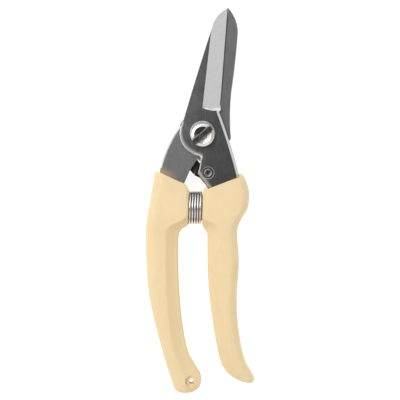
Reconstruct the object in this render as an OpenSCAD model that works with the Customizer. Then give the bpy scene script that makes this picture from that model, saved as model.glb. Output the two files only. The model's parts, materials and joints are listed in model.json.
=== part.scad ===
// Floral snips, lying on their grips with the blades closed and latched.
// X runs across the tool, Y runs from the grips to the tips, and Z is up, towards the bolt's head.
// The origin is under the middle of the tool, on the plane that the grips rest on.

/* [Blades] */
// Thickness of each blade and its tang
blade_t = 2.5; // [2.2:0.1:2.6]
// Gap between the two blades' mating faces
blade_gap = 0.1; // [0.06:0.01:0.2]
// How far each ground bevel falls from the flat to the cutting edge
grind_drop = 2.1; // [1.5:0.1:2.1]

/* [Grips] */
// Thickness of the grips at the spring lobes
grip_t = 18; // [17.6:0.2:20]
// Most that the bevel on the finger side falls below the grip's flat
bevel_drop = 3; // [1:0.5:4]
// Diameter of the hang hole
hang_d = 2.4; // [2:0.2:3]

/* [Pivot] */
// Diameter of the bolt's head
head_d = 11.2; // [10:0.2:12]
// Height of the bolt's head
head_h = 2.8; // [2.2:0.2:3.4]
// Width of the slot in the bolt's head
slot_w = 2.2; // [1.6:0.2:2.6]
// Diameter of the shank that the blades turn on
shank_d = 7; // [6.6:0.1:7.2]

/* [Spring] */
// Diameter of the spring wire
wire_d = 1.1; // [1:0.05:1.15]
// Outside diameter of the spring
coil_d = 16.3; // [15.6:0.1:16.4]
// Number of turns
turns = 5; // [4:0.5:5]

/* [Latch] */
// Diameter of the counterbore for the latch rivet
counterbore_d = 5.6; // [5:0.2:6]
// Diameter of the catch pin
catch_d = 2.5; // [2:0.1:2.5]

/* [Hidden] */
$fn = 64;

// Places across the tool
pivot = [1.2, 31];
rivet = [3.85, 13];
hang = [-4.2, -86.8];
coil_y = -3.65;
coil_left = -6.05;
coil_right = 1.35;

// Heights
mid_z = grip_t / 2;
front_z = mid_z + blade_gap / 2;
front_top = front_z + blade_t;
rear_top = mid_z - blade_gap / 2;
rear_z = rear_top - blade_t;

// Running fits
fit = 0.05;
shank_r = shank_d / 2;

// Washers and nut of the pivot
washer_t = 0.6;
washer_r = 6.3;
washer_shift = 0.9;
thread_r = 3;
dish_h = 0.85;
nut_t = 3.2;
nut_flats = 10;
nut_top = rear_z - fit - dish_h;

// Latch, stacked below the front blade
lever_top = rear_z - 0.3;
lever_t = 2.1;
lever_z = lever_top - lever_t;
lever_angle = 146.7;
bush_r = 3.5;
neck_r = 2.45;
rivet_r = 1.5;
latch_washer_t = 0.6;
rivet_head_r = 2;
recess_depth = 0.8;
catch_reach = 11.5;
catch_side = 0.5;
catch_depth = 1.8;
catch_clear = 0.6;
hook_t = 1.75;
tab_reach = 6.5;
tab_t = 1.6;
tab_drop = 2.6;

// Ridge across the lever's arm, with a sloping face towards the hook
ridge_foot = [4.85, 4.2];
ridge_angle = 16;
ridge_l = 3.3;
ridge_rise = 2.4;
ridge_section = [[-0.9, 0], [0.7, 0], [0.7, 0.3], [0.15, ridge_rise + 0.3], [-0.9, ridge_rise + 0.3]];

// Spring seats in the lobes
seat_r = 8.4;
boss_r = 6.3;
boss_h = 2.5;

// Hang hole's sunk ring
ring_r = 2.85;
ring_half = 4.6;

steel = [0.45, 0.45, 0.46];
bright = [0.8, 0.8, 0.8];
cream = [0.95, 0.87, 0.68];
black = [0.1, 0.1, 0.1];

// Rotates a flat vector by a degrees
function turned(v, a) = [v.x * cos(a) - v.y * sin(a), v.x * sin(a) + v.y * cos(a)];

// Arc from p towards q that stands sag to the left of the straight line between them
function arc_points(p, q, sag, steps = 10) =
    let (
        chord = q - p,
        sweep = 4 * atan(2 * sag / norm(chord)),
        radius = norm(chord) / (2 * sin(sweep / 2)),
        left = [-chord.y, chord.x] / norm(chord),
        centre = (p + q) / 2 - left * radius * cos(sweep / 2)
    )
    [for (i = [0:steps - 1]) centre + turned(p - centre, -sweep * i / steps)];

// Closed outline through corners [x, y, sag], where sag bends the edge that leaves the corner
function outline(corners) = [
    for (i = [0:len(corners) - 1])
        let (
            a = corners[i],
            b = corners[(i + 1) % len(corners)],
            p = [a.x, a.y],
            q = [b.x, b.y]
        )
        each a.z == 0 ? [p] : arc_points(p, q, a.z)
];

// Front blade: tip, spine, shoulder, notch, tang, right edge, choil and cutting edge
front_corners = [
    [13.65, 92.45, -1.6], [5.3, 81.5, -0.2], [-8.3, 37.3, -3.05], [-4.6, 22.9, -0.3],
    [-0.5, 21.1, 0.45], [0.25, 19.4, 0.3], [-1.15, 12.6, 0], [0.3, 10.1, 0], [2.7, 7.3, 0],
    [4, 5.4, 0], [7.5, -3, -0.6], [8.6, -45, 0], [11.5, -60, -0.8],
    [14.5, -60, 0], [13.4, -45, -0.8], [14.8, -16, 0], [18.6, 4, -0.2], [18.7, 11.9, -0.45],
    [9.1, 42.5, 0], [9.85, 42.9, 0], [9.9, 45.8, 0], [13.5, 92.1, 0],
];

// Rear blade: tip, spine, hub, tang and cutting edge
rear_corners = [
    [13.65, 92.45, 1.15], [18.26, 80.5, 0.25], [15.2, 52.7, -0.6], [14.9, 29.6, 0],
    [10.5, 23.5, 1.2], [0.3, 18.6, 0], [-1.26, 19.65, 0], [-5.1, 13.8, 0], [-7.6, 8, 0.5], [-13.6, -12, 0.3],
    [-14.2, -45, 0], [-12.6, -60, 0.8], [-15.8, -60, 0], [-19, -45, 0.4], [-20.5, -5, 0.6],
    [-18.9, 16.1, 1], [-9.9, 35.4, 0.9], [-4.5, 41, 1.4], [5.6, 44.2, 0], [7.4, 45.5, 0],
];

// Grips as ribs across them: [finger side x, y, palm side x, y, bevel width, half thickness],
// with the half thickness as it is where the lobes are 18 mm thick
lobe_half = 9;
left_ribs = [
    [-8.4, 8.1, -20.8, 13.9, 0.8, 8.3], [-7.2, 7.6, -21.5, 13.4, 0.9, 9],
    [-5.6, 5.2, -22.1, 10.4, 1, 9], [-5.45, 1, -23.6, 1.5, 1, 9], [-5.6, -8, -25.4, -8, 1, 9],
    [-5.6, -10.6, -25.7, -10.8, 5, 9], [-6.3, -12.4, -25.9, -13.2, 8.4, 8.9],
    [-8.8, -14, -26, -16, 7.5, 8.7], [-10.2, -16.8, -26, -19, 6.3, 8.5],
    [-10.5, -28, -25.85, -28.5, 6.1, 8], [-10, -43.4, -24.6, -44.5, 6.3, 8],
    [-8, -62.7, -20.9, -62, 6.5, 8], [-5.2, -74.2, -17.5, -74.3, 6.8, 7.6],
    [-1.9, -79.8, -15.7, -80.3, 7.8, 7.2], [0.3, -83.8, -14.2, -85, 8.6, 6.9],
    [0.45, -87.4, -13.1, -88.4, 8.5, 6.6], [-0.9, -90.4, -12, -90.9, 6, 6],
    [-3.6, -92.1, -10.2, -92.2, 3, 4.8], [-5.5, -92.5, -8.5, -92.5, 1, 3],
];
right_ribs = [
    [2.8, 6.2, 19.6, 12.8, 0.8, 8.3], [1.9, 5.4, 20.5, 12.2, 0.9, 9],
    [1.4, 2.6, 22.3, 8.9, 1, 9], [1.3, -3, 23.65, 2.5, 1, 9], [1.05, -9.3, 22.9, -4, 1, 9],
    [1.1, -11.6, 21.3, -6.8, 4.2, 9], [2, -13.6, 19.6, -9.7, 6, 8.8],
    [3.4, -15.8, 18.2, -13.2, 5.6, 8.6], [3.6, -20, 17.9, -18, 5.3, 8.3],
    [3.65, -31, 18.75, -29.5, 5.5, 8], [4.3, -43.4, 17.75, -44, 5.3, 8],
    [6, -57.5, 18, -57, 5.7, 8], [8.2, -70.3, 20.1, -71.5, 5.8, 7.6],
    [10, -77.6, 22.2, -78.2, 5.6, 7.2], [12.4, -82, 24.3, -81.8, 5.5, 6.8],
    [16, -85.1, 25.8, -84.7, 5, 6.3], [20, -87.1, 25.95, -86.4, 3, 5.6],
    [22.6, -87.8, 25, -87.6, 1, 3.5],
];
steps_per_rib = 2;

// Top of the right grip: open above this outline, so that the tang stands clear of it
tang_window = [[3.9, 5.3], [18.85, 11], [18.85, 20], [-8, 20]];

// Value at t between a, which holds at ta, and b, which holds at tb
function between(a, b, ta, tb, t) = a * (tb - t) / (tb - ta) + b * (t - ta) / (tb - ta);

// Smooth curve through a list of vectors: part f of the way from number i to the next
function smooth(list, i, f) =
    let (
        p1 = list[i],
        p2 = list[i + 1],
        p0 = i > 0 ? list[i - 1] : 2 * p1 - p2,
        p3 = i + 2 < len(list) ? list[i + 2] : 2 * p2 - p1,
        t1 = sqrt(norm(p1 - p0)),
        t2 = t1 + sqrt(norm(p2 - p1)),
        t3 = t2 + sqrt(norm(p3 - p2)),
        t = t1 + f * (t2 - t1),
        a1 = between(p0, p1, 0, t1, t),
        a2 = between(p1, p2, t1, t2, t),
        a3 = between(p2, p3, t2, t3, t)
    )
    between(between(a1, a2, 0, t2, t), between(a2, a3, t1, t3, t), t1, t2, t);

// All the ribs of a grip, the given ones and those between them
function fine_ribs(ribs) = [
    for (i = [0:len(ribs) - 2]) for (k = [0:steps_per_rib - 1]) smooth(ribs, i, k / steps_per_rib),
    ribs[len(ribs) - 1],
];

// Upper half of a rib's section, as [distance from the finger side, height above the middle]
function half_section(width, bevel, half) =
    let (
        drop = min(bevel_drop, bevel / 2),
        low = half - drop,
        inner_r = min(1.2, 0.8 * bevel),
        outer_w = min(4.5, 0.4 * width),
        outer_h = 0.7 * half,
        ridge = min(bevel, 0.55 * width)
    )
    [
        for (a = [0:30:90]) [inner_r * (1 - cos(a)), low + inner_r * (sin(a) - 1)],
        [ridge, half],
        for (a = [90:-22.5:0]) [width - outer_w * (1 - cos(a)), half - outer_h * (1 - sin(a))],
    ];

// Ring of points round a grip at one rib
function rib_ring(rib) =
    let (
        inner = [rib[0], rib[1]],
        across = [rib[2], rib[3]] - inner,
        half = min(rib[5], lobe_half) * mid_z / lobe_half,
        top = half_section(norm(across), rib[4], half),
        n = len(top)
    )
    [
        for (p = top) [each inner + across / norm(across) * p[0], mid_z + p[1]],
        for (i = [n - 1:-1:0]) [each inner + across / norm(across) * top[i][0], mid_z - top[i][1]],
    ];

// Solid skinned over a list of rings that each turn left as seen from the ring before
module skin(rings) {
    n = len(rings[0]);
    last = len(rings) - 1;
    sides = [
        for (i = [0:last - 1]) for (j = [0:n - 1])
            let (a = i * n + j, b = i * n + (j + 1) % n)
            each [[a, b, b + n], [a, b + n, a + n]]
    ];
    start = [for (j = [n - 1:-1:0]) j];
    end = [for (j = [0:n - 1]) last * n + j];
    polyhedron([for (ring = rings) each ring], concat(sides, [start, end]), convexity = 6);
}

// Cylinder along X from x = a to x = b, on the spring's axis
module spring_axis_cylinder(r, a, b) {
    translate([a, coil_y, mid_z]) rotate([0, 90, 0]) cylinder(r = r, h = b - a);
}

// What a ground bevel removes: it starts on the line from foot to tip and falls to the right
module grind(foot, tip, width) {
    along = tip - foot;
    translate([foot.x, foot.y, blade_t])
        rotate([0, 0, -atan2(along.x, along.y)])
            rotate([0, atan(grind_drop / width), 0])
                cube([30, 60, 5]);
}

// Places its children at the latch rivet, with X along the lever's arm
module at_lever() {
    translate([rivet.x, rivet.y, 0]) rotate([0, 0, lever_angle]) children();
}

module front_tang() {
    translate([0, 0, front_z]) linear_extrude(blade_t) polygon(outline(front_corners));
}

module rear_tang() {
    translate([0, 0, rear_z]) linear_extrude(blade_t) polygon(outline(rear_corners));
}

module front_blade() {
    color(steel)
        difference() {
            front_tang();
            translate([0, 0, front_z]) grind([1.15, 44.2], [5.4, 81.4], 8.8);
            translate([pivot.x, pivot.y, front_z - 1]) cylinder(r = shank_r + fit, h = blade_t + 2);
            translate([rivet.x, rivet.y, front_z - 1]) cylinder(r = rivet_r, h = blade_t + 2);
            translate([rivet.x, rivet.y, front_top - recess_depth])
                cylinder(d = counterbore_d, h = blade_t);
        }
}

module rear_blade() {
    color(steel)
        difference() {
            rear_tang();
            translate([0, 0, rear_top])
                mirror([1, 0, 0])
                    mirror([0, 0, 1])
                        grind([-13.9, 45], [-17, 81], 6.6);
            translate([pivot.x, pivot.y, rear_z - 1]) cylinder(r = shank_r + fit, h = blade_t + 2);
            at_lever()
                translate([catch_reach, catch_side, rear_z - 1])
                    cylinder(d = catch_d, h = catch_depth + 1);
        }
}

module right_grip() {
    color(cream)
        union() {
            difference() {
                skin([for (rib = fine_ribs(right_ribs)) rib_ring(rib)]);
                front_tang();
                translate([0, 0, -1]) linear_extrude(grip_t + 2) polygon(tang_window);
                spring_axis_cylinder(seat_r, coil_right - 4, coil_right);
            }
            spring_axis_cylinder(boss_r, coil_right - boss_h, coil_right + 1);
        }
}

module left_grip() {
    ribs = fine_ribs(left_ribs);
    color(cream)
        union() {
            difference() {
                skin([for (i = [len(ribs) - 1:-1:0]) rib_ring(ribs[i])]);
                rear_tang();
                spring_axis_cylinder(seat_r, coil_left, coil_left + 4);
                translate([hang.x, hang.y, -1]) cylinder(d = hang_d, h = grip_t + 2);
                for (side = [-1, 1])
                    translate([hang.x, hang.y, mid_z + side * (ring_half + 5)])
                        cylinder(r = ring_r, h = 10, center = true);
            }
            spring_axis_cylinder(boss_r, coil_left - 1, coil_left + boss_h);
        }
}

module pivot_bolt() {
    head_z = front_top + washer_t;
    head_r = head_d / 2;
    edge = 0.7;
    foot = nut_top - nut_t - 0.6;
    color(bright)
        translate([pivot.x, pivot.y, 0])
            difference() {
                union() {
                    translate([0, 0, foot]) cylinder(r = thread_r, h = nut_top - foot);
                    translate([0, 0, nut_top]) cylinder(r = shank_r, h = head_z - nut_top);
                    translate([0, 0, head_z]) cylinder(r = head_r, h = head_h - edge);
                    translate([0, 0, head_z + head_h - edge])
                        cylinder(r1 = head_r, r2 = head_r - edge, h = edge);
                }
                translate([0, 0, head_z + head_h])
                    rotate([0, 0, 40])
                        cube([head_d + 2, slot_w, 2.6], center = true);
            }
}

module pivot_washer() {
    color(bright)
        translate([pivot.x, pivot.y + washer_shift, front_top])
            difference() {
                cylinder(r = washer_r, h = washer_t);
                translate([0, 0, -1]) cylinder(r = shank_r + washer_shift + 0.2, h = washer_t + 2);
            }
}

module pivot_spring_washer() {
    t = 0.45;
    rise = dish_h - t;
    inner = shank_r + 0.2;
    outer = 6;
    color(bright)
        translate([pivot.x, pivot.y, nut_top])
            rotate_extrude()
                polygon([[inner, 0], [inner, t], [outer, t + rise], [outer, rise]]);
}

module pivot_nut() {
    corner_r = nut_flats / 2 / cos(30);
    cut = 0.5;
    color(bright)
        translate([pivot.x, pivot.y, nut_top - nut_t])
            difference() {
                intersection() {
                    cylinder(r = corner_r, h = nut_t, $fn = 6);
                    union() {
                        cylinder(r1 = corner_r - cut, r2 = corner_r + 0.1, h = cut);
                        translate([0, 0, cut]) cylinder(r = corner_r + 0.1, h = nut_t - cut);
                    }
                }
                translate([0, 0, -1]) cylinder(r = thread_r, h = nut_t + 2);
            }
}

// Closed coil: a round wire swept along a helix, with a blunt end at each side
module spring() {
    ring_sides = 8;
    per_turn = 20;
    mean_r = (coil_d - wire_d) / 2;
    free = coil_right - coil_left - wire_d - 2 * fit;
    start = coil_left + fit + wire_d / 2;
    rings = [
        for (i = [0:turns * per_turn])
            let (a = 360 * i / per_turn - 90, x = start + free * i / (turns * per_turn))
            [
                for (j = [0:ring_sides - 1])
                    let (
                        b = 360 * j / ring_sides,
                        r = mean_r + wire_d / 2 * cos(b)
                    )
                    [x + wire_d / 2 * sin(b), coil_y + r * cos(a), mid_z + r * sin(a)]
            ]
    ];
    color(bright) skin(rings);
}

// Flat hook that reaches behind the tang, with a thumb tab turned down at the other end
module latch_lever() {
    slot_left = catch_reach - catch_d / 2 - 0.35;
    slot_right = catch_reach + catch_d / 2 + catch_clear;
    tip = slot_right + hook_t;
    bridge = catch_side + catch_d / 2 + 0.45;
    finger = catch_side - 0.2;
    color(black)
        at_lever()
            difference() {
                union() {
                    translate([0, 0, lever_z])
                        linear_extrude(lever_t)
                            polygon(outline([
                                [-tab_reach, -3.8, 0], [2, -4.4, 0], [6.1, -1.9, 0], [8.3, -2.7, 0],
                                [slot_left, -2.6, 0],
                                [slot_left, bridge, 0], [slot_right, bridge, 0], [slot_right, finger, 0],
                                [tip - 0.6, finger, -0.2], [tip, 1.2, -0.4], [tip - 2.2, bridge + 1.3, 0],
                                [8.4, 3.55, 0], [4.9, 4.45, -0.3], [-3, 2.6, 0], [-tab_reach, 1.6, 0],
                            ]));
                    translate([-tab_reach, -3.4, lever_z - tab_drop])
                        cube([tab_t, 4.6, tab_drop + lever_t / 2]);
                    translate([ridge_foot.x, ridge_foot.y, lever_top - 0.3])
                        rotate([90, 0, ridge_angle])
                            linear_extrude(ridge_l) polygon(ridge_section);
                }
                translate([0, 0, lever_z - 1]) cylinder(r = neck_r + fit, h = lever_t + 2);
            }
}

module latch_bush() {
    color(bright)
        translate([rivet.x, rivet.y, 0])
            difference() {
                union() {
                    translate([0, 0, lever_top + fit])
                        cylinder(r = bush_r, h = front_z - lever_top - fit);
                    translate([0, 0, lever_z - fit]) cylinder(r = neck_r, h = lever_t + 3 * fit);
                }
                translate([0, 0, lever_z - 1]) cylinder(r = rivet_r, h = front_z - lever_z + 2);
            }
}

module latch_washer() {
    color(bright)
        translate([rivet.x, rivet.y, lever_z - fit - latch_washer_t])
            difference() {
                cylinder(r = bush_r + 0.1, h = latch_washer_t);
                translate([0, 0, -1]) cylinder(r = rivet_r, h = latch_washer_t + 2);
            }
}

module latch_rivet() {
    tail_h = 1;
    tail_top = lever_z - fit - latch_washer_t;
    head_z = front_top - recess_depth;
    color(bright)
        translate([rivet.x, rivet.y, 0]) {
            translate([0, 0, tail_top - tail_h]) cylinder(r1 = 2, r2 = 2.6, h = tail_h);
            translate([0, 0, tail_top - 0.1]) cylinder(r = rivet_r, h = head_z - tail_top + 0.2);
            translate([0, 0, head_z]) cylinder(r1 = rivet_head_r, r2 = rivet_head_r - 0.35, h = 0.65);
        }
}

module catch_pin() {
    foot = lever_z - 0.15;
    color(bright)
        at_lever()
            translate([catch_reach, catch_side, foot])
                cylinder(d = catch_d, h = rear_z + catch_depth - foot);
}

front_blade();
rear_blade();
right_grip();
left_grip();
pivot_bolt();
pivot_washer();
pivot_spring_washer();
pivot_nut();
spring();
latch_lever();
latch_bush();
latch_washer();
latch_rivet();
catch_pin();
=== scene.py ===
import cmath
import json
import math

import bmesh
import bpy
import numpy as np
from bpy.props import FloatProperty, FloatVectorProperty, PointerProperty
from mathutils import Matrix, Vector
from mathutils.geometry import delaunay_2d_cdt


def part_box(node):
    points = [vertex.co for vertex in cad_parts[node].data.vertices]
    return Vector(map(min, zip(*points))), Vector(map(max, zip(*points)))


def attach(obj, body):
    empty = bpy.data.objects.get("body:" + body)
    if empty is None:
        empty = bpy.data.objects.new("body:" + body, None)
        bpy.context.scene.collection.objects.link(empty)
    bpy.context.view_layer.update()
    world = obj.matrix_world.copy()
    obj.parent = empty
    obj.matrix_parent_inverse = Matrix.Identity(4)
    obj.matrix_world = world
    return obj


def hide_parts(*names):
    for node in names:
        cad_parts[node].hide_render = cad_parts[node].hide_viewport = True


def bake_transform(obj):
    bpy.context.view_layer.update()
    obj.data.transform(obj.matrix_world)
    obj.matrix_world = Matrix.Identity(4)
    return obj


bl_info = {
    "name": "Floral snips",
    "version": (1, 0, 0),
    "blender": (4, 5, 0),
    "location": "3D View > Sidebar > Snips",
    "description": "Makes the finished pieces of a pair of floral snips around their fixed frame",
    "category": "Add Mesh",
}

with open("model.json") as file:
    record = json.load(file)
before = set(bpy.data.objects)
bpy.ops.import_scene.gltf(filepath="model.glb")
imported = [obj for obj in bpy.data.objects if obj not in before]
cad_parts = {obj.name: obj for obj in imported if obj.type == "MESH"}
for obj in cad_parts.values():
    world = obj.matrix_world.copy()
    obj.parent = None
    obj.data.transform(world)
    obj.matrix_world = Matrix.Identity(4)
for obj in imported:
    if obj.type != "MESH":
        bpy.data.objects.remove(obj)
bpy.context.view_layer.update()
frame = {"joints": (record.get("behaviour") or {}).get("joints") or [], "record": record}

# Lengths in this script are millimetres, and this turns them into Blender's metres
MM = 0.001


def node_box(node):
    """Lowest and highest corners of a node of the frame, in millimetres."""
    low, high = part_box(node)
    return np.array(low) / MM, np.array(high) / MM


JOINT_POS = {joint["name"]: np.array(joint["pos_m"]) / MM for joint in frame["joints"]}
PIVOT = JOINT_POS["blade_pivot"][:2]
RIVET = JOINT_POS["latch_pivot"][:2]
HANG = next(mount for mount in frame["record"]["mounts"] if mount["name"] == "hang_hole")
BODY_OF = {
    node: body
    for body, nodes in frame["record"]["behaviour"]["bodies"].items()
    for node in nodes
}

FRONT_Z, FRONT_TOP = (corner[2] for corner in node_box("front_blade"))
REAR_Z, REAR_TOP = (corner[2] for corner in node_box("rear_blade"))
MID_Z = JOINT_POS["blade_pivot"][2]
GRIP_TOP = node_box("left_grip")[1][2]
SPRING_LOW, SPRING_HIGH = node_box("spring")
COIL_Y = (SPRING_LOW[1] + SPRING_HIGH[1]) / 2
# Running clearance between turning pieces
FIT = 0.05
# Which way the bolt's slot runs, in degrees from the X axis
SLOT_ANGLE = 40
# Where two faces meet at more than these angles, in degrees, their shading stays crisp
SHARP_ANGLE = 28
BLADE_SHARP_ANGLE = 12
COIL_SHARP_ANGLE = 60
# How far a cutting tool runs on past the face that it goes through
CUT_PAST = 1


# ---------------------------------------------------------------- sizes and colours

class SnipsSizes(bpy.types.PropertyGroup):
    """Sizes that the finished pieces share"""

    grind_drop: FloatProperty(
        name="Grind drop", description="How far each ground bevel falls to the cutting edge",
        default=2.1 * MM, min=1.5 * MM, max=2.1 * MM, unit="LENGTH")
    bevel_drop: FloatProperty(
        name="Grip bevel", description="Most that the finger side's bevel falls below the flat",
        default=3 * MM, min=1 * MM, max=4 * MM, unit="LENGTH")
    tang_gap: FloatProperty(
        name="Tang gap", description="Open line round each tang where it enters its grip",
        default=0.12 * MM, min=0.02 * MM, max=0.3 * MM, unit="LENGTH")
    slot_width: FloatProperty(
        name="Bolt slot", description="Width of the slot in the bolt's head",
        default=2.1 * MM, min=1.6 * MM, max=2.4 * MM, unit="LENGTH")
    wire_d: FloatProperty(
        name="Spring wire", description="Diameter of the spring's wire",
        default=1.1 * MM, min=1 * MM, max=1.1 * MM, unit="LENGTH")
    spring_turns: FloatProperty(
        name="Spring turns", description="Number of turns in the spring",
        default=5, min=4, max=5)


def colour(name, description, default):
    """Colour property with the settings that all of them share."""
    return FloatVectorProperty(
        name=name, description=description, default=default,
        subtype="COLOR", size=3, min=0, max=1)


class SnipsColours(bpy.types.PropertyGroup):
    """Colours of the finishes"""

    grip: colour("Grips", "Moulded cream plastic", (0.85, 0.665, 0.385))
    # The dark flat steel and the bright ground steel are partly their real finishes and partly painted
    # reflection, dark on the flats and bright on the bevels and chamfers
    flat_steel: colour("Flat steel", "Dark satin faces of the blades", (0.13, 0.13, 0.132))
    ground_steel: colour("Ground steel", "Fresh ground bevels and chamfers", (0.92, 0.92, 0.915))
    plated: colour("Plated steel", "Bolt, washers, nut and rivet", (0.66, 0.655, 0.64))
    wire: colour("Spring wire", "Bright drawn wire", (0.74, 0.725, 0.73))
    # Painted bounce light: warm tone painted on the tang steel beside a grip
    cast: colour("Cast on steel", "Tang steel right beside a grip", (0.47, 0.35, 0.22))
    black: colour("Blackened steel", "Latch lever", (0.012, 0.011, 0.012))
    floor: colour("Floor", "Pale floor under the tool", (0.9, 0.9, 0.9))


# ---------------------------------------------------------------- outlines

# How each kind of edge is finished. "drop" is the face's fall, "shine" is how bright the steel is,
# partly bare ground steel and partly a painted highlight that fades across each chamfer as its
# shading would, and "dark" is how much of that shine a painted shadow line takes away, each as
# (distance in from the edge, value).
# "narrow" is (Y where the finish is narrowest, Y where it is full, share of its width where
# narrowest)
EDGE_KINDS = {
    "plain": {"drop": [(0, 0.12), (0.12, 0)], "shine": [(0, 0.5), (0.12, 0.4), (0.3, 0)]},
    "shoulder": {
        "drop": [(0, 1.0), (0.5, 0.5), (0.95, 0.26), (1.4, 0.1), (1.85, 0.03), (2.3, 0)],
        "shine": [(0, 1), (0.4, 1), (0.5, 0.75), (0.95, 0.4), (1.4, 0.2), (1.85, 0.08), (2.3, 0)],
        "narrow": (36.5, 24, 0.3),
    },
    "notch": {"drop": [(0, 0.5), (0.5, 0)], "shine": [(0, 0.85), (0.5, 0.75), (0.57, 0)]},
    "diagonal": {
        "drop": [(0, 1.2), (0.4, 0.7), (0.9, 0.35), (1.5, 0.12), (2.2, 0)],
        "shine": [(0, 0), (0.36, 0), (0.44, 0.9), (0.9, 0.6), (1.5, 0.25), (2.2, 0)],
    },
    "right": {
        "drop": [(0, 0.6), (1.15, 0)],
        "shine": [(0, 0.6), (0.2, 0.7), (0.26, 1), (1.15, 1), (1.21, 0)],
    },
    # The cutting edge's "dark" band is a painted shadow line where the blades meet
    "keen": {"drop": [(0, 0)], "shine": [(0, 0)], "dark": [(0, 1), (0.26, 1), (0.3, 0)]},
    "edge": {"drop": [(0, 0)], "shine": [(0, 1), (0.1, 0.9), (0.2, 0)]},
    "brow": {
        "drop": [(0, 0.3), (0.3, 0.06), (0.6, 0)],
        "shine": [(0, 1), (0.3, 0.7), (0.6, 0.3), (1, 0)],
    },
    "buried": {"drop": [(0, 0)], "shine": [(0, 0)]},
    "lever": {
        "drop": [(0, 0.3), (0.12, 0.1), (0.3, 0)],
        "shine": [(0, 0.3), (0.12, 0.12), (0.3, 0)],
    },
}

# Front blade: tip, spine, shoulder, notch, tang, right edge, choil and cutting edge.
# A corner is (x, y, sag of the edge that leaves it, kind of that edge)
FRONT_CORNERS = [
    (13.65, 92.45, -1.6, "plain"), (5.3, 81.5, -0.2, "plain"), (-8.3, 37.3, -3.05, "shoulder"),
    (-4.6, 22.9, -0.3, "shoulder"), (-0.5, 21.1, 0.45, "notch"), (0.25, 19.4, 0.3, "notch"),
    (-1.15, 12.6, 0, "diagonal"), (0.3, 10.1, 0, "diagonal"), (2.7, 7.3, 0, "diagonal"),
    (4, 5.4, 0, "buried"), (7.5, -3, -0.6, "buried"), (8.6, -45, 0, "buried"),
    (11.5, -60, -0.8, "buried"), (14.5, -60, 0, "buried"), (13.4, -45, -0.8, "buried"),
    (14.8, -16, 0, "buried"), (18.6, 4, -0.2, "right"), (18.7, 11.9, -0.45, "right"),
    (9.1, 42.5, 0, "edge"), (9.85, 42.9, 0, "edge"), (9.9, 45.8, 0, "keen"),
    (13.5, 92.1, 0, "plain"),
]

# Rear blade: tip, spine, hub, tang and cutting edge
REAR_CORNERS = [
    (13.65, 92.45, 1.15, "plain"), (18.26, 80.5, 0.25, "plain"), (15.2, 52.7, -0.6, "plain"),
    (14.9, 29.6, 0, "plain"), (10.5, 23.5, 1.2, "plain"), (0.3, 18.6, 0, "plain"),
    (-1.26, 19.65, 0, "plain"), (-5.1, 13.8, 0, "plain"), (-7.6, 8, 0.5, "buried"),
    (-13.6, -12, 0.3, "buried"), (-14.2, -45, 0, "buried"), (-12.6, -60, 0.8, "buried"),
    (-15.8, -60, 0, "buried"), (-19, -45, 0.4, "buried"), (-20.5, -5, 0.6, "buried"),
    (-18.9, 16.1, 1, "brow"), (-9.9, 35.4, 0.9, "plain"), (-4.5, 41, 1.4, "plain"),
    (5.6, 44.2, 0, "plain"), (7.4, 45.5, 0, "edge"),
]

# Ground bevels: the crease runs from foot to tip, and width is from there to the cutting edge,
# above zero when that is on the right of the crease
FRONT_GRIND = {"foot": (1.15, 44.2), "tip": (5.4, 81.4), "width": 8.8}
REAR_GRIND = {"foot": (13.9, 45), "tip": (17, 81), "width": -6.6}
# Where a bevel runs out at its foot: its length, the sag of its curved end and its shine
RUN_OUT = 1.3
RUN_OUT_SAG = 0.7
RUN_OUT_SHINE = 0.66


def arc_points(start, end, sag, steps=14):
    """Points from start up to end on an arc that stands sag to the left of its chord."""
    start, end = complex(*start), complex(*end)
    chord = end - start
    sweep = 4 * math.atan(2 * sag / abs(chord))
    radius = abs(chord) / (2 * math.sin(sweep / 2))
    centre = (start + end) / 2 - 1j * chord / abs(chord) * radius * math.cos(sweep / 2)
    around = [centre + (start - centre) * cmath.exp(-1j * sweep * i / steps) for i in range(steps)]
    return [(p.real, p.imag) for p in around]


def signed_area(points):
    """Area inside a closed outline, which is above zero when it runs counterclockwise."""
    after = np.roll(points, -1, axis=0)
    return np.sum(points[:, 0] * after[:, 1] - points[:, 1] * after[:, 0]) / 2


def outline(corners):
    """Points of a counterclockwise outline, and the kind of the edge that leaves each."""
    points, kinds = [], []
    for corner, following in zip(corners, corners[1:] + corners[:1]):
        run = arc_points(corner[:2], following[:2], corner[2]) if corner[2] else [corner[:2]]
        points += run
        kinds += [corner[3]] * len(run)
    points = np.array(points)
    if signed_area(points) < 0:
        count = len(points)
        points = points[::-1].copy()
        kinds = [kinds[(count - 2 - i) % count] for i in range(count)]
    return points, kinds


def edge_runs(points, kinds):
    """Stretches of an outline that are all of one kind, as (kind, points along it)."""
    count = len(points)
    starts = [i for i in range(count) if kinds[i] != kinds[i - 1]]
    if not starts:
        return [(kinds[0], np.vstack([points, points[:1]]))]
    runs = []
    for start, end in zip(starts, starts[1:] + [starts[0] + count]):
        runs.append((kinds[start], points[[i % count for i in range(start, end + 1)]]))
    return runs


def full_width(kind, xy):
    """Share of its full width that an edge of this kind has at each point."""
    if "narrow" not in EDGE_KINDS[kind]:
        return np.ones(len(xy))
    start, end, least = EDGE_KINDS[kind]["narrow"]
    return least + (1 - least) * np.clip((xy[:, 1] - start) / (end - start), 0, 1)


def crease_line(kind, line, distance):
    """Line at a distance inside an edge, carried round both of its ends."""
    middle = inset(line, distance * full_width(kind, line))
    caps = []
    for end, start, towards in ((line[0], middle[0], line[0] - line[1]),
                                (line[-1], middle[-1], line[-1] - line[-2])):
        arm = complex(*(start - end))
        sign = -1 if (complex(*towards) / arm).imag < 0 else 1
        turned = [arm * cmath.exp(1j * sign * math.radians(a)) for a in range(15, 181, 15)]
        caps.append([end + (p.real, p.imag) for p in turned])
    return np.array(caps[0][::-1] + list(middle) + caps[1])


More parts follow.
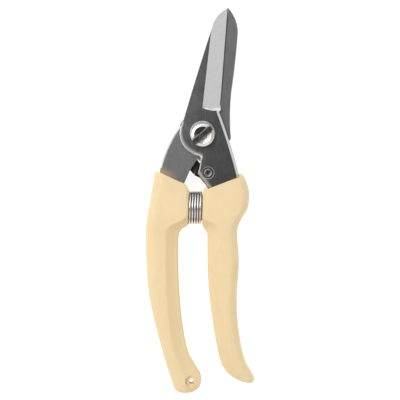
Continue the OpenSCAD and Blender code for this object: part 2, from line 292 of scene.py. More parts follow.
def inset(line, distance, closed=False):
    """A line moved to its left by distance, with mitred corners."""
    if closed:
        before, after = line - np.roll(line, 1, axis=0), np.roll(line, -1, axis=0) - line
    else:
        steps = np.diff(line, axis=0)
        before, after = np.vstack([steps[:1], steps]), np.vstack([steps, steps[-1:]])
    normals = [np.stack([-s[:, 1], s[:, 0]], axis=1) / np.linalg.norm(s, axis=1)[:, None]
               for s in (before, after)]
    mitre = normals[0] + normals[1]
    mitre /= np.linalg.norm(mitre, axis=1)[:, None]
    spread = np.clip(np.sum(mitre * normals[1], axis=1), 0.5, 1)
    return line + mitre * (np.asarray(distance) / spread)[:, None]


def distance_to(points, line):
    """Distance from each point to a line of straight steps."""
    start, step = line[:-1], np.diff(line, axis=0)
    across = points[:, None, :] - start[None]
    share = np.clip(np.sum(across * step, axis=2) / np.sum(step * step, axis=1), 0, 1)
    return np.linalg.norm(across - share[..., None] * step, axis=2).min(axis=1)


def inside(points, loop):
    """Which points lie inside a closed outline."""
    after = np.roll(loop, -1, axis=0)
    x, y = points[:, :1], points[:, 1:]
    crosses = (loop[:, 1] > y) != (after[:, 1] > y)
    rise = np.where(after[:, 1] == loop[:, 1], 1, after[:, 1] - loop[:, 1])
    at = loop[:, 0] + (y - loop[:, 1]) * (after[:, 0] - loop[:, 0]) / rise
    return np.sum(crosses & (x < at), axis=1) % 2 == 1


def circle(centre, radius, steps=64):
    """Points round a circle."""
    angles = np.linspace(0, math.tau, steps, endpoint=False)
    return np.stack([centre[0] + radius * np.cos(angles), centre[1] + radius * np.sin(angles)], axis=1)


def along_profile(profile, distance):
    """Value of a profile of (distance, value) pairs at each distance."""
    return np.interp(distance, [p[0] for p in profile], [p[1] for p in profile])


# How far past its last crease an edge's finish has a line that keeps the flat face flat
CREASE_SUPPORT = 0.3


class Edges:
    """The finished edges of one outline: their fall, their shine and the creases they need."""

    def __init__(self, points, kinds):
        self.runs = edge_runs(points, kinds)

    def value(self, xy, key):
        """Largest value of one key of EDGE_KINDS that any edge gives at each point."""
        found = np.zeros(len(xy))
        for kind, line in self.runs:
            profile = EDGE_KINDS[kind].get(key, [(0, 0)])
            if max(v for _, v in profile) > 0:
                away = distance_to(xy, line) / full_width(kind, xy)
                found = np.maximum(found, along_profile(profile, away))
        return found

    def creases(self):
        """Lines inside the outline along which the fall or the shine bends, and one past them."""
        lines = []
        for kind, line in self.runs:
            profiles = [EDGE_KINDS[kind].get(key, []) for key in ("drop", "shine", "dark")]
            stops = {d for profile in profiles for d, _ in profile if d > 0}
            if stops:
                stops.add(max(stops) + CREASE_SUPPORT)
            lines += [(crease_line(kind, line, d), False) for d in sorted(stops)]
        return lines


class Grind:
    """A ground bevel that falls away from its crease line and runs out above its foot."""

    def __init__(self, foot, tip, width, drop):
        self.foot = np.array(foot, float)
        along = np.array(tip, float) - self.foot
        self.length = np.linalg.norm(along)
        self.along = along / self.length
        side = np.array([self.along[1], -self.along[0]])
        self.side = side if width > 0 else -side
        self.width = abs(width)
        self.slope = drop / self.width

    def place(self, xy):
        """How far each point is past the crease, and how far past the run-out's lower edge."""
        away = xy - self.foot
        across = away @ self.side
        share = np.clip(across / self.width, 0, 1)
        sag = RUN_OUT_SAG * 4 * share * (1 - share)
        return across, away @ self.along + sag

    def drop(self, xy):
        """Fall of the bevel at each point."""
        across, above = self.place(xy)
        rise = np.clip(above / RUN_OUT, 0, 1)
        return self.slope * np.maximum(across, 0) * rise * rise * (3 - 2 * rise)

    def mark(self, value, centres):
        """Sets the shine of the faces that lie on the bevel, which is less in the run-out."""
        across, above = self.place(centres)
        value[(across > 0) & (above > 0)] = RUN_OUT_SHINE
        value[(across > 0) & (above > RUN_OUT)] = 1

    def creases(self):
        """The crease line and the lines of the run-out."""
        beyond = self.foot + self.along * (self.length * 1.6)
        lines = [(np.array([self.foot - self.along * RUN_OUT_SAG, beyond]), False)]
        shares = np.linspace(-0.05, 1.3, 20)
        inner = np.clip(shares, 0, 1)
        steps = 5
        for step in range(steps + 1):
            above = RUN_OUT * step / steps - RUN_OUT_SAG * 4 * inner * (1 - inner)
            lines.append((self.foot + np.outer(shares * self.width, self.side)
                          + np.outer(above, self.along), False))
        return lines


# ---------------------------------------------------------------- meshes

def new_piece(name, points, faces):
    """Mesh object from points in millimetres and faces."""
    mesh = bpy.data.meshes.new(name)
    mesh.from_pydata([[c * MM for c in p] for p in points], [], faces)
    piece = bpy.data.objects.new(name, mesh)
    bpy.context.scene.collection.objects.link(piece)
    return piece


def turn_outwards(mesh):
    """Merges doubled points and turns all faces outwards, of a mesh that has to be closed."""
    work = bmesh.new()
    work.from_mesh(mesh)
    bmesh.ops.remove_doubles(work, verts=work.verts, dist=1e-4 * MM)
    bmesh.ops.recalc_face_normals(work, faces=work.faces)
    if sum(not edge.is_manifold for edge in work.edges):
        work.free()
        raise RuntimeError(f"{mesh.name} isn't closed")
    work.to_mesh(mesh)
    work.free()


def smooth_faces(mesh, sharp_angle):
    """Smooth shading that stays crisp where two faces meet at more than sharp_angle degrees."""
    mesh.shade_smooth()
    mesh.set_sharp_from_angle(angle=math.radians(sharp_angle))


def skin(name, rings):
    """Closed piece skinned over rings of equal length."""
    count = len(rings[0])
    points = [p for ring in rings for p in ring]
    last = (len(rings) - 1) * count
    faces = []
    for low in range(0, last, count):
        for j in range(count):
            k = (j + 1) % count
            faces.append((low + j, low + k, low + count + k, low + count + j))
    faces += [tuple(range(count)), tuple(range(last, last + count))]
    piece = new_piece(name, points, faces)
    turn_outwards(piece.data)
    return piece


def prism(name, loop, levels):
    """Closed piece over a flat outline, whose growth changes through levels of (height, growth)."""
    rings = []
    for height, growth in levels:
        flat = inset(loop, -growth, closed=True)
        rings.append([(x, y, height) for x, y in flat])
    return skin(name, rings)


def rounded(points, radius, closed, steps=4):
    """Points of a profile with its corners rounded, and a support point beside each corner."""
    points = [np.array(p, float) for p in points]
    result = []
    for i, corner in enumerate(points):
        if not closed and i in (0, len(points) - 1):
            result.append(corner)
            continue
        near, far = [], []
        for other in (points[i - 1], points[(i + 1) % len(points)]):
            arm = other - corner
            length = np.linalg.norm(arm)
            near.append(corner + arm * min(radius, 0.4 * length) / length)
            far.append(corner + arm * min(1.7 * radius, 0.48 * length) / length)
        result.append(far[0])
        for step in range(steps + 1):
            t = step / steps
            result.append(near[0] * (1 - t) ** 2 + corner * 2 * t * (1 - t) + near[1] * t * t)
        result.append(far[1])
    return result


def lathe(name, centre, profile, ring=False, radius=0.15, steps=96):
    """Closed piece turned about a vertical axis: a profile of (radius, height) from axis to axis,
    or for a ring a closed profile off the axis."""
    profile = rounded(profile, radius, closed=ring)
    points, rows = [], []
    for r, z in profile:
        if r < 1e-6:
            rows.append([len(points)] * steps)
            points.append((centre[0], centre[1], z))
        else:
            rows.append(list(range(len(points), len(points) + steps)))
            points += [(x, y, z) for x, y in circle(centre, r, steps)]
    faces = []
    pairs = list(zip(rows, rows[1:] + rows[:1])) if ring else list(zip(rows, rows[1:]))
    for near, far in pairs:
        for j in range(steps):
            k = (j + 1) % steps
            corners = list(dict.fromkeys([near[j], near[k], far[k], far[j]]))
            if len(corners) > 2:
                faces.append(corners)
    piece = new_piece(name, points, faces)
    turn_outwards(piece.data)
    return piece


def plate(name, loop, holes, creases, top, bottom, shine_top, shine_bottom, shine_wall):
    """Closed plate over an outline. top and bottom give the heights at points, creases are lines
    that its faces follow, and the shines give the "ground" attribute at the corners of faces."""
    points, edges = [], []
    for line, closed in [(loop, True)] + [(hole, True) for hole in holes] + creases:
        first, count = len(points), len(line)
        points += [Vector(p) for p in line]
        edges += [(first + i, first + (i + 1) % count) for i in range(count if closed else count - 1)]
    found = delaunay_2d_cdt(points, edges, [], 0, 1e-4)
    xy, triangles = np.array([tuple(p) for p in found[0]]), np.array([tuple(f) for f in found[2]])
    centres = xy[triangles].mean(axis=1)
    keep = inside(centres, loop)
    for hole in holes:
        keep &= ~inside(centres, hole)
    triangles = triangles[keep]
    used, triangles = np.unique(triangles, return_inverse=True)
    xy, triangles = xy[used], triangles.reshape(-1, 3)
    a, b, c = (xy[triangles[:, i]] for i in range(3))
    turned = np.cross(b - a, c - a) < 0
    triangles[turned] = triangles[turned][:, ::-1]

    count = len(xy)
    corners = [(*p, z) for p, z in zip(xy, top(xy))] + [(*p, z) for p, z in zip(xy, bottom(xy))]
    sides = {(t[i], t[(i + 1) % 3]) for t in triangles.tolist() for i in range(3)}
    rim = [(p, q) for p, q in sides if (q, p) not in sides]
    below = triangles[:, ::-1] + count
    walls = [(p + count, q + count, q, p) for p, q in sorted(rim)]
    piece = new_piece(name, corners, triangles.tolist() + below.tolist() + walls)

    centres = xy[triangles].mean(axis=1)
    upper = shine_top(centres, xy[triangles].reshape(-1, 2)).ravel()
    lower = shine_bottom(centres, xy[triangles[:, ::-1]].reshape(-1, 2)).ravel()
    shine = np.concatenate([upper, lower, np.full(4 * len(walls), shine_wall)])
    attribute = piece.data.attributes.new("ground", "FLOAT", "CORNER")
    attribute.data.foreach_set("value", shine.astype(np.float32))
    return piece


def boolean(piece, tool, operation="DIFFERENCE"):
    """Cuts or joins piece with tool, which is used up."""
    modifier = piece.modifiers.new("join", "BOOLEAN")
    modifier.object, modifier.operation, modifier.solver = tool, operation, "EXACT"
    bake_modifiers(piece)
    bpy.data.objects.remove(tool)


def bake_modifiers(piece):
    """Turns the evaluated shape of a piece into its plain mesh."""
    bpy.context.view_layer.update()
    evaluated = piece.evaluated_get(bpy.context.evaluated_depsgraph_get())
    mesh = bpy.data.meshes.new_from_object(evaluated)
    piece.modifiers.clear()
    piece.data = mesh
    mesh.name = piece.name


def edge_wear(mesh, full_angle=30):
    """Adds the "wear" attribute, which is 1 at points on edges that bend outwards sharply."""
    work = bmesh.new()
    work.from_mesh(mesh)
    wear = np.zeros(len(work.verts))
    for edge in work.edges:
        if len(edge.link_faces) == 2:
            bend = math.degrees(edge.calc_face_angle_signed(0)) / full_angle
            for vertex in edge.verts:
                wear[vertex.index] = max(wear[vertex.index], min(bend, 1))
    work.free()
    mesh.attributes.new("wear", "FLOAT", "POINT").data.foreach_set("value", wear.astype(np.float32))


def settle(piece, node, material, sharp_angle=SHARP_ANGLE):
    """Finishes a piece that stands for one node of the frame and rides on that node's body."""
    turn_outwards(piece.data)
    smooth_faces(piece.data, sharp_angle)
    edge_wear(piece.data)
    piece.data.materials.append(material)
    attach(piece, BODY_OF[node])
    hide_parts(node)


# ---------------------------------------------------------------- materials

class Wire:
    """A shader socket that Python's operators work on, each adding its Math node."""

    def __init__(self, finish, socket):
        self.finish, self.socket = finish, socket

    def maths(self, operation, first, second):
        """Math node on two values, each a Wire or a number."""
        return self.finish.node("ShaderNodeMath", {"operation": operation}, {0: first, 1: second})

    def __add__(self, other):
        return self.maths("ADD", self, other)

    def __sub__(self, other):
        return self.maths("SUBTRACT", self, other)

    def __mul__(self, other):
        return self.maths("MULTIPLY", self, other)

    def __rsub__(self, other):
        return self.maths("SUBTRACT", other, self)

    __radd__ = __add__
    __rmul__ = __mul__


class Finish:
    """A material built round one Principled BSDF."""

    def __init__(self, name, **constants):
        self.material = bpy.data.materials.new(name)
        self.material.use_nodes = True
        self.tree = self.material.node_tree
        self.tree.nodes.clear()
        self.surface = self.tree.nodes.new("ShaderNodeBsdfPrincipled")
        out = self.tree.nodes.new("ShaderNodeOutputMaterial")
        self.tree.links.new(self.surface.outputs["BSDF"], out.inputs["Surface"])
        for socket, value in constants.items():
            self.surface.inputs[socket.replace("_", " ").title()].default_value = value

    def plug(self, socket, value):
        """Links a Wire to a socket, or sets the socket's own value."""
        if isinstance(value, Wire):
            self.tree.links.new(value.socket, socket)
        else:
            socket.default_value = value

    def node(self, kind, settings=None, inputs=None, output=0):
        """Adds a node: its settings first, then the values or links of its sockets."""
        node = self.tree.nodes.new(kind)
        for key, value in (settings or {}).items():
            setattr(node, key, value)
        for key, value in (inputs or {}).items():
            self.plug(node.inputs[key], value)
        return Wire(self, node.outputs[output])

    def place(self, stretch=(1, 1, 1), turn=(0, 0, 0)):
        """Object coordinates in millimetres, stretched and turned."""
        where = self.node("ShaderNodeTexCoord", output="Object")
        scale = tuple(s / MM for s in stretch)
        return self.node("ShaderNodeMapping", {"vector_type": "POINT"},
                         {"Vector": where, "Scale": scale, "Rotation": turn})

    def noise(self, scale, detail=2.0, stretch=(1, 1, 1), turn=(0, 0, 0)):
        """Noise spread from 0 to 1, whose scale is in features for each millimetre."""
        noise = self.node("ShaderNodeTexNoise", {"noise_dimensions": "3D"},
                          {"Vector": self.place(stretch, turn), "Scale": scale, "Detail": detail})
        return self.node("ShaderNodeMapRange", {"interpolation_type": "LINEAR"},
                         {"Value": noise, "From Min": 0.28, "From Max": 0.72})

    def attribute(self, name):
        """A number that the mesh carries."""
        return self.node("ShaderNodeAttribute", {"attribute_name": name}, output="Fac")

    def mix(self, first, second, share, blend="MIX"):
        """Colour between first and second, or their other blend by that share."""
        return self.node("ShaderNodeMix", {"data_type": "RGBA", "blend_type": blend},
                         {0: share, 6: first, 7: second}, output=2)

    def step(self, value, low, high):
        """Value scaled so that it goes smoothly from 0 at low to 1 at high."""
        return self.node("ShaderNodeMapRange", {"interpolation_type": "SMOOTHSTEP"},
                         {"Value": value, "From Min": low, "From Max": high})

    def bump(self, height, distance, strength=1.0):
        """Relief of a height from 0 to 1, over a distance in millimetres."""
        return self.node("ShaderNodeBump", {}, {
            "Height": height, "Distance": distance * MM, "Strength": strength}, output="Normal")

    def finish(self, **links):
        """Plugs values into the surface and gives the material."""
        for socket, value in links.items():
            self.plug(self.surface.inputs[socket.replace("_", " ").title()], value)
        return self.material


def rgb(values):
    """Colour with full alpha."""
    return (*values, 1.0)


def shade(values, factor):
    """Colour made lighter or darker by a factor."""
    return tuple(min(v * factor, 1.0) for v in values)


# Top edge of the left grip where it crosses its tang, from left to right, how far above it the
# steel carries a painted warm glow of light bounced off the cream grip, and how much of that
# painted glow the rear blade takes
LEFT_GRIP_EDGE = [(-20.8, 13.9), (-8.4, 8.1)]
BOUNCE_REACH = 4.4
REAR_BOUNCE = 0.85
# Finger side of the tang, upwards, and the distances left of it where the painted glow starts and is full
TANG_SIDE = [(-7, 8), (-4, 16)]
BOUNCE_FROM, BOUNCE_FULL = 3, 12
# The blades' flat faces are painted darker from left to right, as painted shade where the room's
# reflection falls off, over this reach each way, to this share
PAINTED_SHADE_REACH = 9
PAINTED_SHADE_LEAST = 0.68
# Darkest and lightest tone of the dished face of the bolt's head, a painted dark reflection
DISH_DARK_REFLECTION = (0.2, 0.17, 0.155)
DISH_LIGHT_REFLECTION = (0.5, 0.47, 0.46)


def beyond(finish, line):
    """How far each point is to the left of a line from its first point to its second."""
    along = complex(*line[1]) - complex(*line[0])
    away = along * 1j / abs(along)
    offset = line[0][0] * away.real + line[0][1] * away.imag
    reach = finish.node("ShaderNodeVectorMath", {"operation": "DOT_PRODUCT"},
                        {0: finish.place(), 1: (away.real, away.imag, 0)}, output="Value")
    return reach - offset


def blade_steel(colours, name, bounce_share):
    """Dark satin steel whose ground faces, which the "ground" attribute marks, are bright, partly as
    bare ground steel and partly as painted highlight and painted reflection. It takes a share of
    painted warm bounce light beside the left grip's edge, and painted shade that darkens its flats
    from left to right."""
    steel = Finish(name, metallic=1.0)
    fade = steel.step(beyond(steel, TANG_SIDE), BOUNCE_FROM, BOUNCE_FULL)
    cast = steel.step(beyond(steel, LEFT_GRIP_EDGE), BOUNCE_REACH, 0) * fade * bounce_share
    ground = steel.attribute("ground")
    brushing = steel.noise(2.2, 3.0, (3.2, 0.05, 1))
    fine = steel.noise(5.0, 2.0, (4, 0.09, 1))
    cloud = steel.noise(0.16, 2.0)
    mottle = steel.noise(0.9, 4.0, (1, 0.45, 1))
    dark = steel.mix(rgb(shade(colours.flat_steel, 0.6)), rgb(shade(colours.flat_steel, 1.45)),
                     mottle * 0.3 + cloud * 0.25 + brushing * 0.45)
    bright = steel.mix(rgb(shade(colours.ground_steel, 0.95)), rgb(shade(colours.ground_steel, 1.2)),
                       fine * 0.6 + brushing * 0.4)
    # Painted shade: the flats darken from left to right
    across = steel.node("ShaderNodeSeparateXYZ", {}, {0: steel.place()}, output="X")
    shaded = steel.mix(dark, rgb([PAINTED_SHADE_LEAST] * 3), steel.step(across, -PAINTED_SHADE_REACH, PAINTED_SHADE_REACH),
                       blend="MULTIPLY")
    # Painted bounce light: the cream grip's warm glow painted on the steel beside it
    near_grip = steel.mix(shaded, rgb(colours.cast), cast)
    return steel.finish(
        base_color=steel.mix(near_grip, bright, ground),
        roughness=0.42 - ground * 0.1 + (fine - 0.5) * 0.14,
        normal=steel.bump(brushing * 0.5 + fine * 0.3, 0.02, 0.5),
    )


def bright_steel(name, base, roughness, grain, edge_gain=0.25, bright_edges=1.3):
    """Polished or drawn steel with faint grain and brighter outward edges, which are partly wear and
    partly a painted highlight.
    """
    steel = Finish(name, metallic=1.0)
    wear = steel.attribute("wear")
    fine = steel.noise(grain, 3.0)
    cloud = steel.noise(0.5, 2.0)
    body = steel.mix(rgb(shade(base, 0.86)), rgb(shade(base, 1.08)), fine * 0.5 + cloud * 0.5)
    return steel.finish(
        base_color=steel.mix(body, rgb(shade(base, bright_edges)), wear * edge_gain),
        roughness=roughness + (cloud - 0.5) * 0.1 + (fine - 0.5) * 0.06,
        normal=steel.bump(fine, 0.004, 0.4),
    )


def wire_steel(colours):
    """Drawn wire with a painted highlight on its crown, which the "crown" attribute marks, and painted
    shade between coils.
    """
    steel = Finish("spring_steel", metallic=1.0)
    fine = steel.noise(5.0, 3.0)
    crown = steel.step(steel.attribute("crown") + (fine - 0.5) * 0.1, 0.12, 0.55)
    # Painted shade where the coils face each other, and painted highlight on the crown
    painted_coil_gap_shade = steel.mix(rgb(shade(colours.wire, 0.28)), rgb(shade(colours.wire, 0.42)), fine)
    bright = steel.mix(rgb(shade(colours.wire, 0.95)), rgb(shade(colours.wire, 1.08)), fine)
    return steel.finish(
        base_color=steel.mix(painted_coil_gap_shade, bright, crown),
        roughness=0.24 - crown * 0.1 + (fine - 0.5) * 0.06,
        normal=steel.bump(fine, 0.004, 0.4),
    )


def bolt_steel(colours):
    """Plated steel that is bright where it is turned or bevelled, with a painted dark reflection on its
    dished face.
    """
    steel = Finish("polished_steel", metallic=1.0)
    ground = steel.attribute("ground")
    fine = steel.noise(6.0, 3.0)
    streaks = steel.noise(1.3, 3.0, (1, 0.25, 1), (0, 0, math.radians(SLOT_ANGLE)))
    dark = steel.mix(rgb(DISH_DARK_REFLECTION), rgb(DISH_LIGHT_REFLECTION), streaks * 0.8 + fine * 0.2)
    bright = steel.mix(rgb(shade(colours.plated, 0.9)), rgb(shade(colours.plated, 1.3)), fine)
    return steel.finish(
        base_color=steel.mix(dark, bright, ground),
        roughness=0.14 + ground * 0.08 + (streaks - 0.5) * 0.06,
        normal=steel.bump(fine, 0.004, 0.4),
    )


def black_steel(colours):
    """Blackened steel whose edges, which the "ground" attribute marks, are worn bright."""
    steel = Finish("black_steel")
    ground = steel.attribute("ground")
    speckle = steel.noise(3.0, 4.0)
    bright_edges = steel.step(ground + (speckle - 0.5) * 0.3, 0.15, 0.75)
    coat = steel.mix(rgb(shade(colours.black, 0.7)), rgb(shade(colours.black, 2.2)), speckle)
    return steel.finish(
        base_color=steel.mix(coat, rgb(colours.ground_steel), bright_edges),
        roughness=0.5 - bright_edges * 0.2 + (speckle - 0.5) * 0.12,
        metallic=0.5 + bright_edges * 0.5,
        normal=steel.bump(speckle, 0.02, 0.5),
    )


def grip_plastic(colours):
    """Moulded cream plastic with a fine skin, faint clouding and edges rubbed lighter."""
    plastic = Finish("grip_plastic", metallic=0.0)
    wear = plastic.attribute("wear")
    skin_grain = plastic.noise(1.7, 5.0)
    pores = plastic.noise(4.5, 2.0)
    cloud = plastic.noise(0.06, 2.0)
    handled = plastic.noise(0.22, 3.0, (1, 0.5, 1))
    tone = plastic.mix(rgb(shade(colours.grip, 0.965)), rgb(shade(colours.grip, 1.025)),
                       cloud * 0.55 + skin_grain * 0.25 + pores * 0.2)
    rubbed = plastic.mix(tone, rgb(shade(colours.grip, 1.06)), wear * 0.35)
    grime = rgb(c * share for c, share in zip(colours.grip, (0.95, 0.93, 0.88)))
    return plastic.finish(
        base_color=plastic.mix(rubbed, grime, plastic.step(handled, 0.55, 0.8) * 0.3),
        roughness=0.5 + (skin_grain - 0.5) * 0.16 - wear * 0.08 + (handled - 0.5) * 0.08,
        normal=plastic.bump(skin_grain * 0.5 + pores * 0.5, 0.07, 0.5),
    )


# Light that comes up through the floor, as from a light table
FLOOR_GLOW = 0.95
# Share of the light from above that the floor gives back
FLOOR_SHARE = 0.33


def floor_paint(colours):
    """Plain pale floor."""
    paint = Finish("floor_paint", roughness=0.9, emission_strength=FLOOR_GLOW)
    grain = paint.noise(0.05, 2.0)
    tone = paint.mix(rgb(colours.floor), rgb(shade(colours.floor, 1.02)), grain)
    return paint.finish(
        base_color=paint.mix(tone, rgb((0, 0, 0)), 1 - FLOOR_SHARE),
        emission_color=tone,
    )


# ---------------------------------------------------------------- blades

PIVOT_HOLE_R = 3.55
RIVET_HOLE_R = 1.5
# Counterbore round the rivet, as (radius, depth) up its wall and its chamfer
COUNTERBORE = [(2.7, 0.8), (2.78, 0.16), (3.0, 0.0)]
# How bright the steel is where the blades rub, on the plates' rims and on the chamfer, whose
# brightness is bare ground steel and a painted highlight
MATING_SHINE = 0.1
WALL_SHINE = 0.3
CHAMFER_SHINE = 0.55
# Share of an edge's shine that the rear blade keeps on its front
REAR_SHINE_SHARE = 0.8


def front_plate(sizes):
    """The front blade and its tang."""
    loop, kinds = outline(FRONT_CORNERS)
    edges = Edges(loop, kinds)
    grind = Grind(drop=sizes.grind_drop / MM, **FRONT_GRIND)
    rings = [(circle(RIVET, r), True) for r, _ in COUNTERBORE]

    def top(xy):
        recess = along_profile(COUNTERBORE, np.linalg.norm(xy - RIVET, axis=1))
        return FRONT_TOP - np.maximum.reduce([edges.value(xy, "drop"), grind.drop(xy), recess])

    def shine(centres, corners):
        value = edges.value(corners, "shine").reshape(-1, 3)
        grind.mark(value, centres)
        # Painted shadow: a dark line along the cutting edge, where the blades meet
        value *= 1 - edges.value(corners, "dark").reshape(-1, 3)
        rivet_ring = np.linalg.norm(centres - RIVET, axis=1)
        value[(rivet_ring > COUNTERBORE[1][0]) & (rivet_ring < COUNTERBORE[2][0])] = CHAMFER_SHINE
        return value

    return plate(
        "front_blade_steel", loop, [circle(PIVOT, PIVOT_HOLE_R), circle(RIVET, RIVET_HOLE_R, 48)],
        edges.creases() + grind.creases() + rings, top, lambda xy: np.full(len(xy), FRONT_Z),
        shine, lambda centres, corners: np.full(len(corners), MATING_SHINE), WALL_SHINE)


def rear_plate(sizes):
    """The rear blade and its tang, with the ground bevel on its back."""
    loop, kinds = outline(REAR_CORNERS)
    edges = Edges(loop, kinds)
    grind = Grind(drop=sizes.grind_drop / MM, **REAR_GRIND)

    def bottom(xy):
        return REAR_Z + np.maximum(edges.value(xy, "drop"), grind.drop(xy))

    def shine_top(centres, corners):
        shine = edges.value(corners, "shine") * REAR_SHINE_SHARE
        return np.maximum(shine, MATING_SHINE).reshape(-1, 3)

    def shine_bottom(centres, corners):
        value = edges.value(corners, "shine").reshape(-1, 3)
        grind.mark(value, centres)
        return value

    return plate(
        "rear_blade_steel", loop, [circle(PIVOT, PIVOT_HOLE_R)], edges.creases() + grind.creases(),
        lambda xy: REAR_TOP - edges.value(xy, "drop"), bottom, shine_top, shine_bottom, WALL_SHINE)


class SNIPS_OT_blades(bpy.types.Operator):
    """Makes the front and rear blades with their ground bevels and chamfered edges"""

    bl_idname = "snips.blades"
    bl_label = "Blades"

    def execute(self, context):
        plates = (("front_blade", front_plate, 0.0), ("rear_blade", rear_plate, REAR_BOUNCE))
        for node, build, bounce_share in plates:
            steel = blade_steel(context.scene.snips_colours, node + "_finish", bounce_share)
            piece = build(context.scene.snips_sizes)
            settle(piece, node, steel, BLADE_SHARP_ANGLE)
        return {"FINISHED"}


# ---------------------------------------------------------------- grips

# Half thickness of the lobes in the ribs below, which are scaled so that the lobes fill the frame
LOBE_HALF = 9
# Ribs across each grip: finger side x and y, palm side x and y, bevel width and half thickness
LEFT_RIBS = [
    (-8.4, 8.1, -20.8, 13.9, 0.8, 8.3), (-7.2, 7.6, -21.5, 13.4, 0.9, 9),
    (-5.6, 5.2, -22.1, 10.4, 1, 9), (-5.45, 1, -23.6, 1.5, 1, 9), (-5.6, -8, -25.4, -8, 1, 9),
    (-5.6, -10.6, -25.7, -10.8, 5, 9), (-6.3, -12.4, -25.9, -13.2, 8.4, 8.9),
    (-8.8, -14, -26, -16, 7.5, 8.7), (-10.2, -16.8, -26, -19, 6.3, 8.5),
    (-10.5, -28, -25.85, -28.5, 6.1, 8), (-10, -43.4, -24.6, -44.5, 6.3, 8),
    (-8, -62.7, -20.9, -62, 6.5, 8), (-5.2, -74.2, -17.5, -74.3, 6.8, 7.6),
    (-1.9, -79.8, -15.7, -80.3, 7.8, 7.2), (0.3, -83.8, -14.2, -85, 8.6, 6.9),
    (0.45, -87.4, -13.1, -88.4, 8.5, 6.6), (-0.9, -90.4, -12, -90.9, 6, 6),
    (-3.6, -92.1, -10.2, -92.2, 3, 4.8), (-5.5, -92.5, -8.5, -92.5, 1, 3),
]
RIGHT_RIBS = [
    (2.8, 6.2, 19.6, 12.8, 0.8, 8.3), (1.9, 5.4, 20.5, 12.2, 0.9, 9),
    (1.4, 2.6, 22.3, 8.9, 1, 9), (1.3, -3, 23.65, 2.5, 1, 9), (1.05, -9.3, 22.9, -4, 1, 9),
    (1.1, -11.6, 21.3, -6.8, 4.2, 9), (2, -13.6, 19.6, -9.7, 6, 8.8),
    (3.4, -15.8, 18.2, -13.2, 5.6, 8.6), (3.6, -20, 17.9, -18, 5.3, 8.3),
    (3.65, -31, 18.75, -29.5, 5.5, 8), (4.3, -43.4, 17.75, -44, 5.3, 8),
    (6, -57.5, 18, -57, 5.7, 8), (8.2, -70.3, 20.1, -71.5, 5.8, 7.6),
    (10, -77.6, 22.2, -78.2, 5.6, 7.2), (12.4, -82, 24.3, -81.8, 5.5, 6.8),
    (16, -85.1, 25.8, -84.7, 5, 6.3), (20, -87.1, 25.95, -86.4, 3, 5.6),
    (22.6, -87.8, 25, -87.6, 1, 3.5),
]
STEPS_PER_RIB = 8
# Rounding along the grips: most radius on the finger side, most reach across on the palm side,
# softness of the ridge beside the bevel, and how hollow the bevel is
FINGER_ROUND = 1.2
PALM_ROUND = 4.5
RIDGE_SOFT = 0.45
BEVEL_HOLLOW = 0.035
# Where the right grip is open above its tang, and the chamfer round that window
TANG_WINDOW = np.array([(3.9, 5.3), (18.85, 11), (18.85, 20), (-8, 20)])
WINDOW_CHAMFER = 0.2
# Pocket that the spring sits in, and the boss inside its coil
SEAT_R = 8.4
SEAT_DEPTH = 6
BOSS_R = 6.3
BOSS_H = 2.5
# Sunk ring round the hang hole, which leaves this half thickness between its two faces
HANG_RING_R = 2.85
HANG_RING_HALF = 4.6
HANG_RING_CHAMFER = 0.25
HANG_RING_CUT = 5


def between_ribs(ribs, i, f):
    """Rib at part f of the way from number i to the next, on a smooth curve through them all."""
    p1, p2 = ribs[i], ribs[i + 1]
    p0 = ribs[i - 1] if i > 0 else 2 * p1 - p2
    p3 = ribs[i + 2] if i + 2 < len(ribs) else 2 * p2 - p1
    spans = [math.sqrt(np.linalg.norm(b - a)) for a, b in ((p0, p1), (p1, p2), (p2, p3))]
    knots = np.cumsum([0] + spans)
    t = knots[1] + f * (knots[2] - knots[1])

    def blend(a, b, start, end):
        return (a * (knots[end] - t) + b * (t - knots[start])) / (knots[end] - knots[start])

    a1, a2, a3 = blend(p0, p1, 0, 1), blend(p1, p2, 1, 2), blend(p2, p3, 2, 3)
    return blend(blend(a1, a2, 0, 2), blend(a2, a3, 1, 3), 1, 2)


def half_section(width, bevel, half, bevel_drop):
    """Upper half of a rib's section, as (distance from the finger side, height above the middle)."""
    low = half - min(bevel_drop, bevel / 2)
    finger_r = min(FINGER_ROUND, 0.8 * bevel)
    palm_w, palm_h = min(PALM_ROUND, 0.4 * width), 0.7 * half
    ridge = min(bevel, 0.55 * width)
    soft = min(RIDGE_SOFT, 0.4 * (ridge - finger_r))
    start, crest = np.array([finger_r, low]), np.array([ridge, half])
    rise = (crest - start) / np.linalg.norm(crest - start)
    before, flat = crest - rise * soft, np.array([ridge + soft, half])
    dip = np.array([rise[1], -rise[0]]) * BEVEL_HOLLOW * max(ridge - 3, 0)
    room = width - palm_w - flat[0]

    points = [(finger_r * (1 - math.cos(a)), low + finger_r * (math.sin(a) - 1))
              for a in np.linspace(0, math.pi / 2, 6)]
    for share in (0.15, 0.4, 0.65, 0.9):
        points.append(tuple(start + (before - start) * share + dip * math.sin(math.pi * share)))
    points += [tuple(before), tuple((before + 2 * crest + flat) / 4), tuple(flat)]
    points += [(flat[0] + room * share, half) for share in (0.12, 0.5, 0.9)]
    points += [(width - palm_w * (1 - math.cos(a)), half - palm_h * (1 - math.sin(a)))
               for a in np.linspace(math.pi / 2, 0, 12)]
    return points


def rib_ring(rib, bevel_drop):
    """Ring of points round a grip at one rib."""
    inner, outer = rib[:2], rib[2:4]
    width = np.linalg.norm(outer - inner)
    across = (outer - inner) / width
    half = min(rib[5], LOBE_HALF) * (GRIP_TOP - MID_Z) / LOBE_HALF
    section = half_section(width, rib[4], half, bevel_drop)
    upper = [(*(inner + across * d), MID_Z + h) for d, h in section]
    lower = [(*(inner + across * d), MID_Z - h) for d, h in reversed(section)]
    return upper + lower


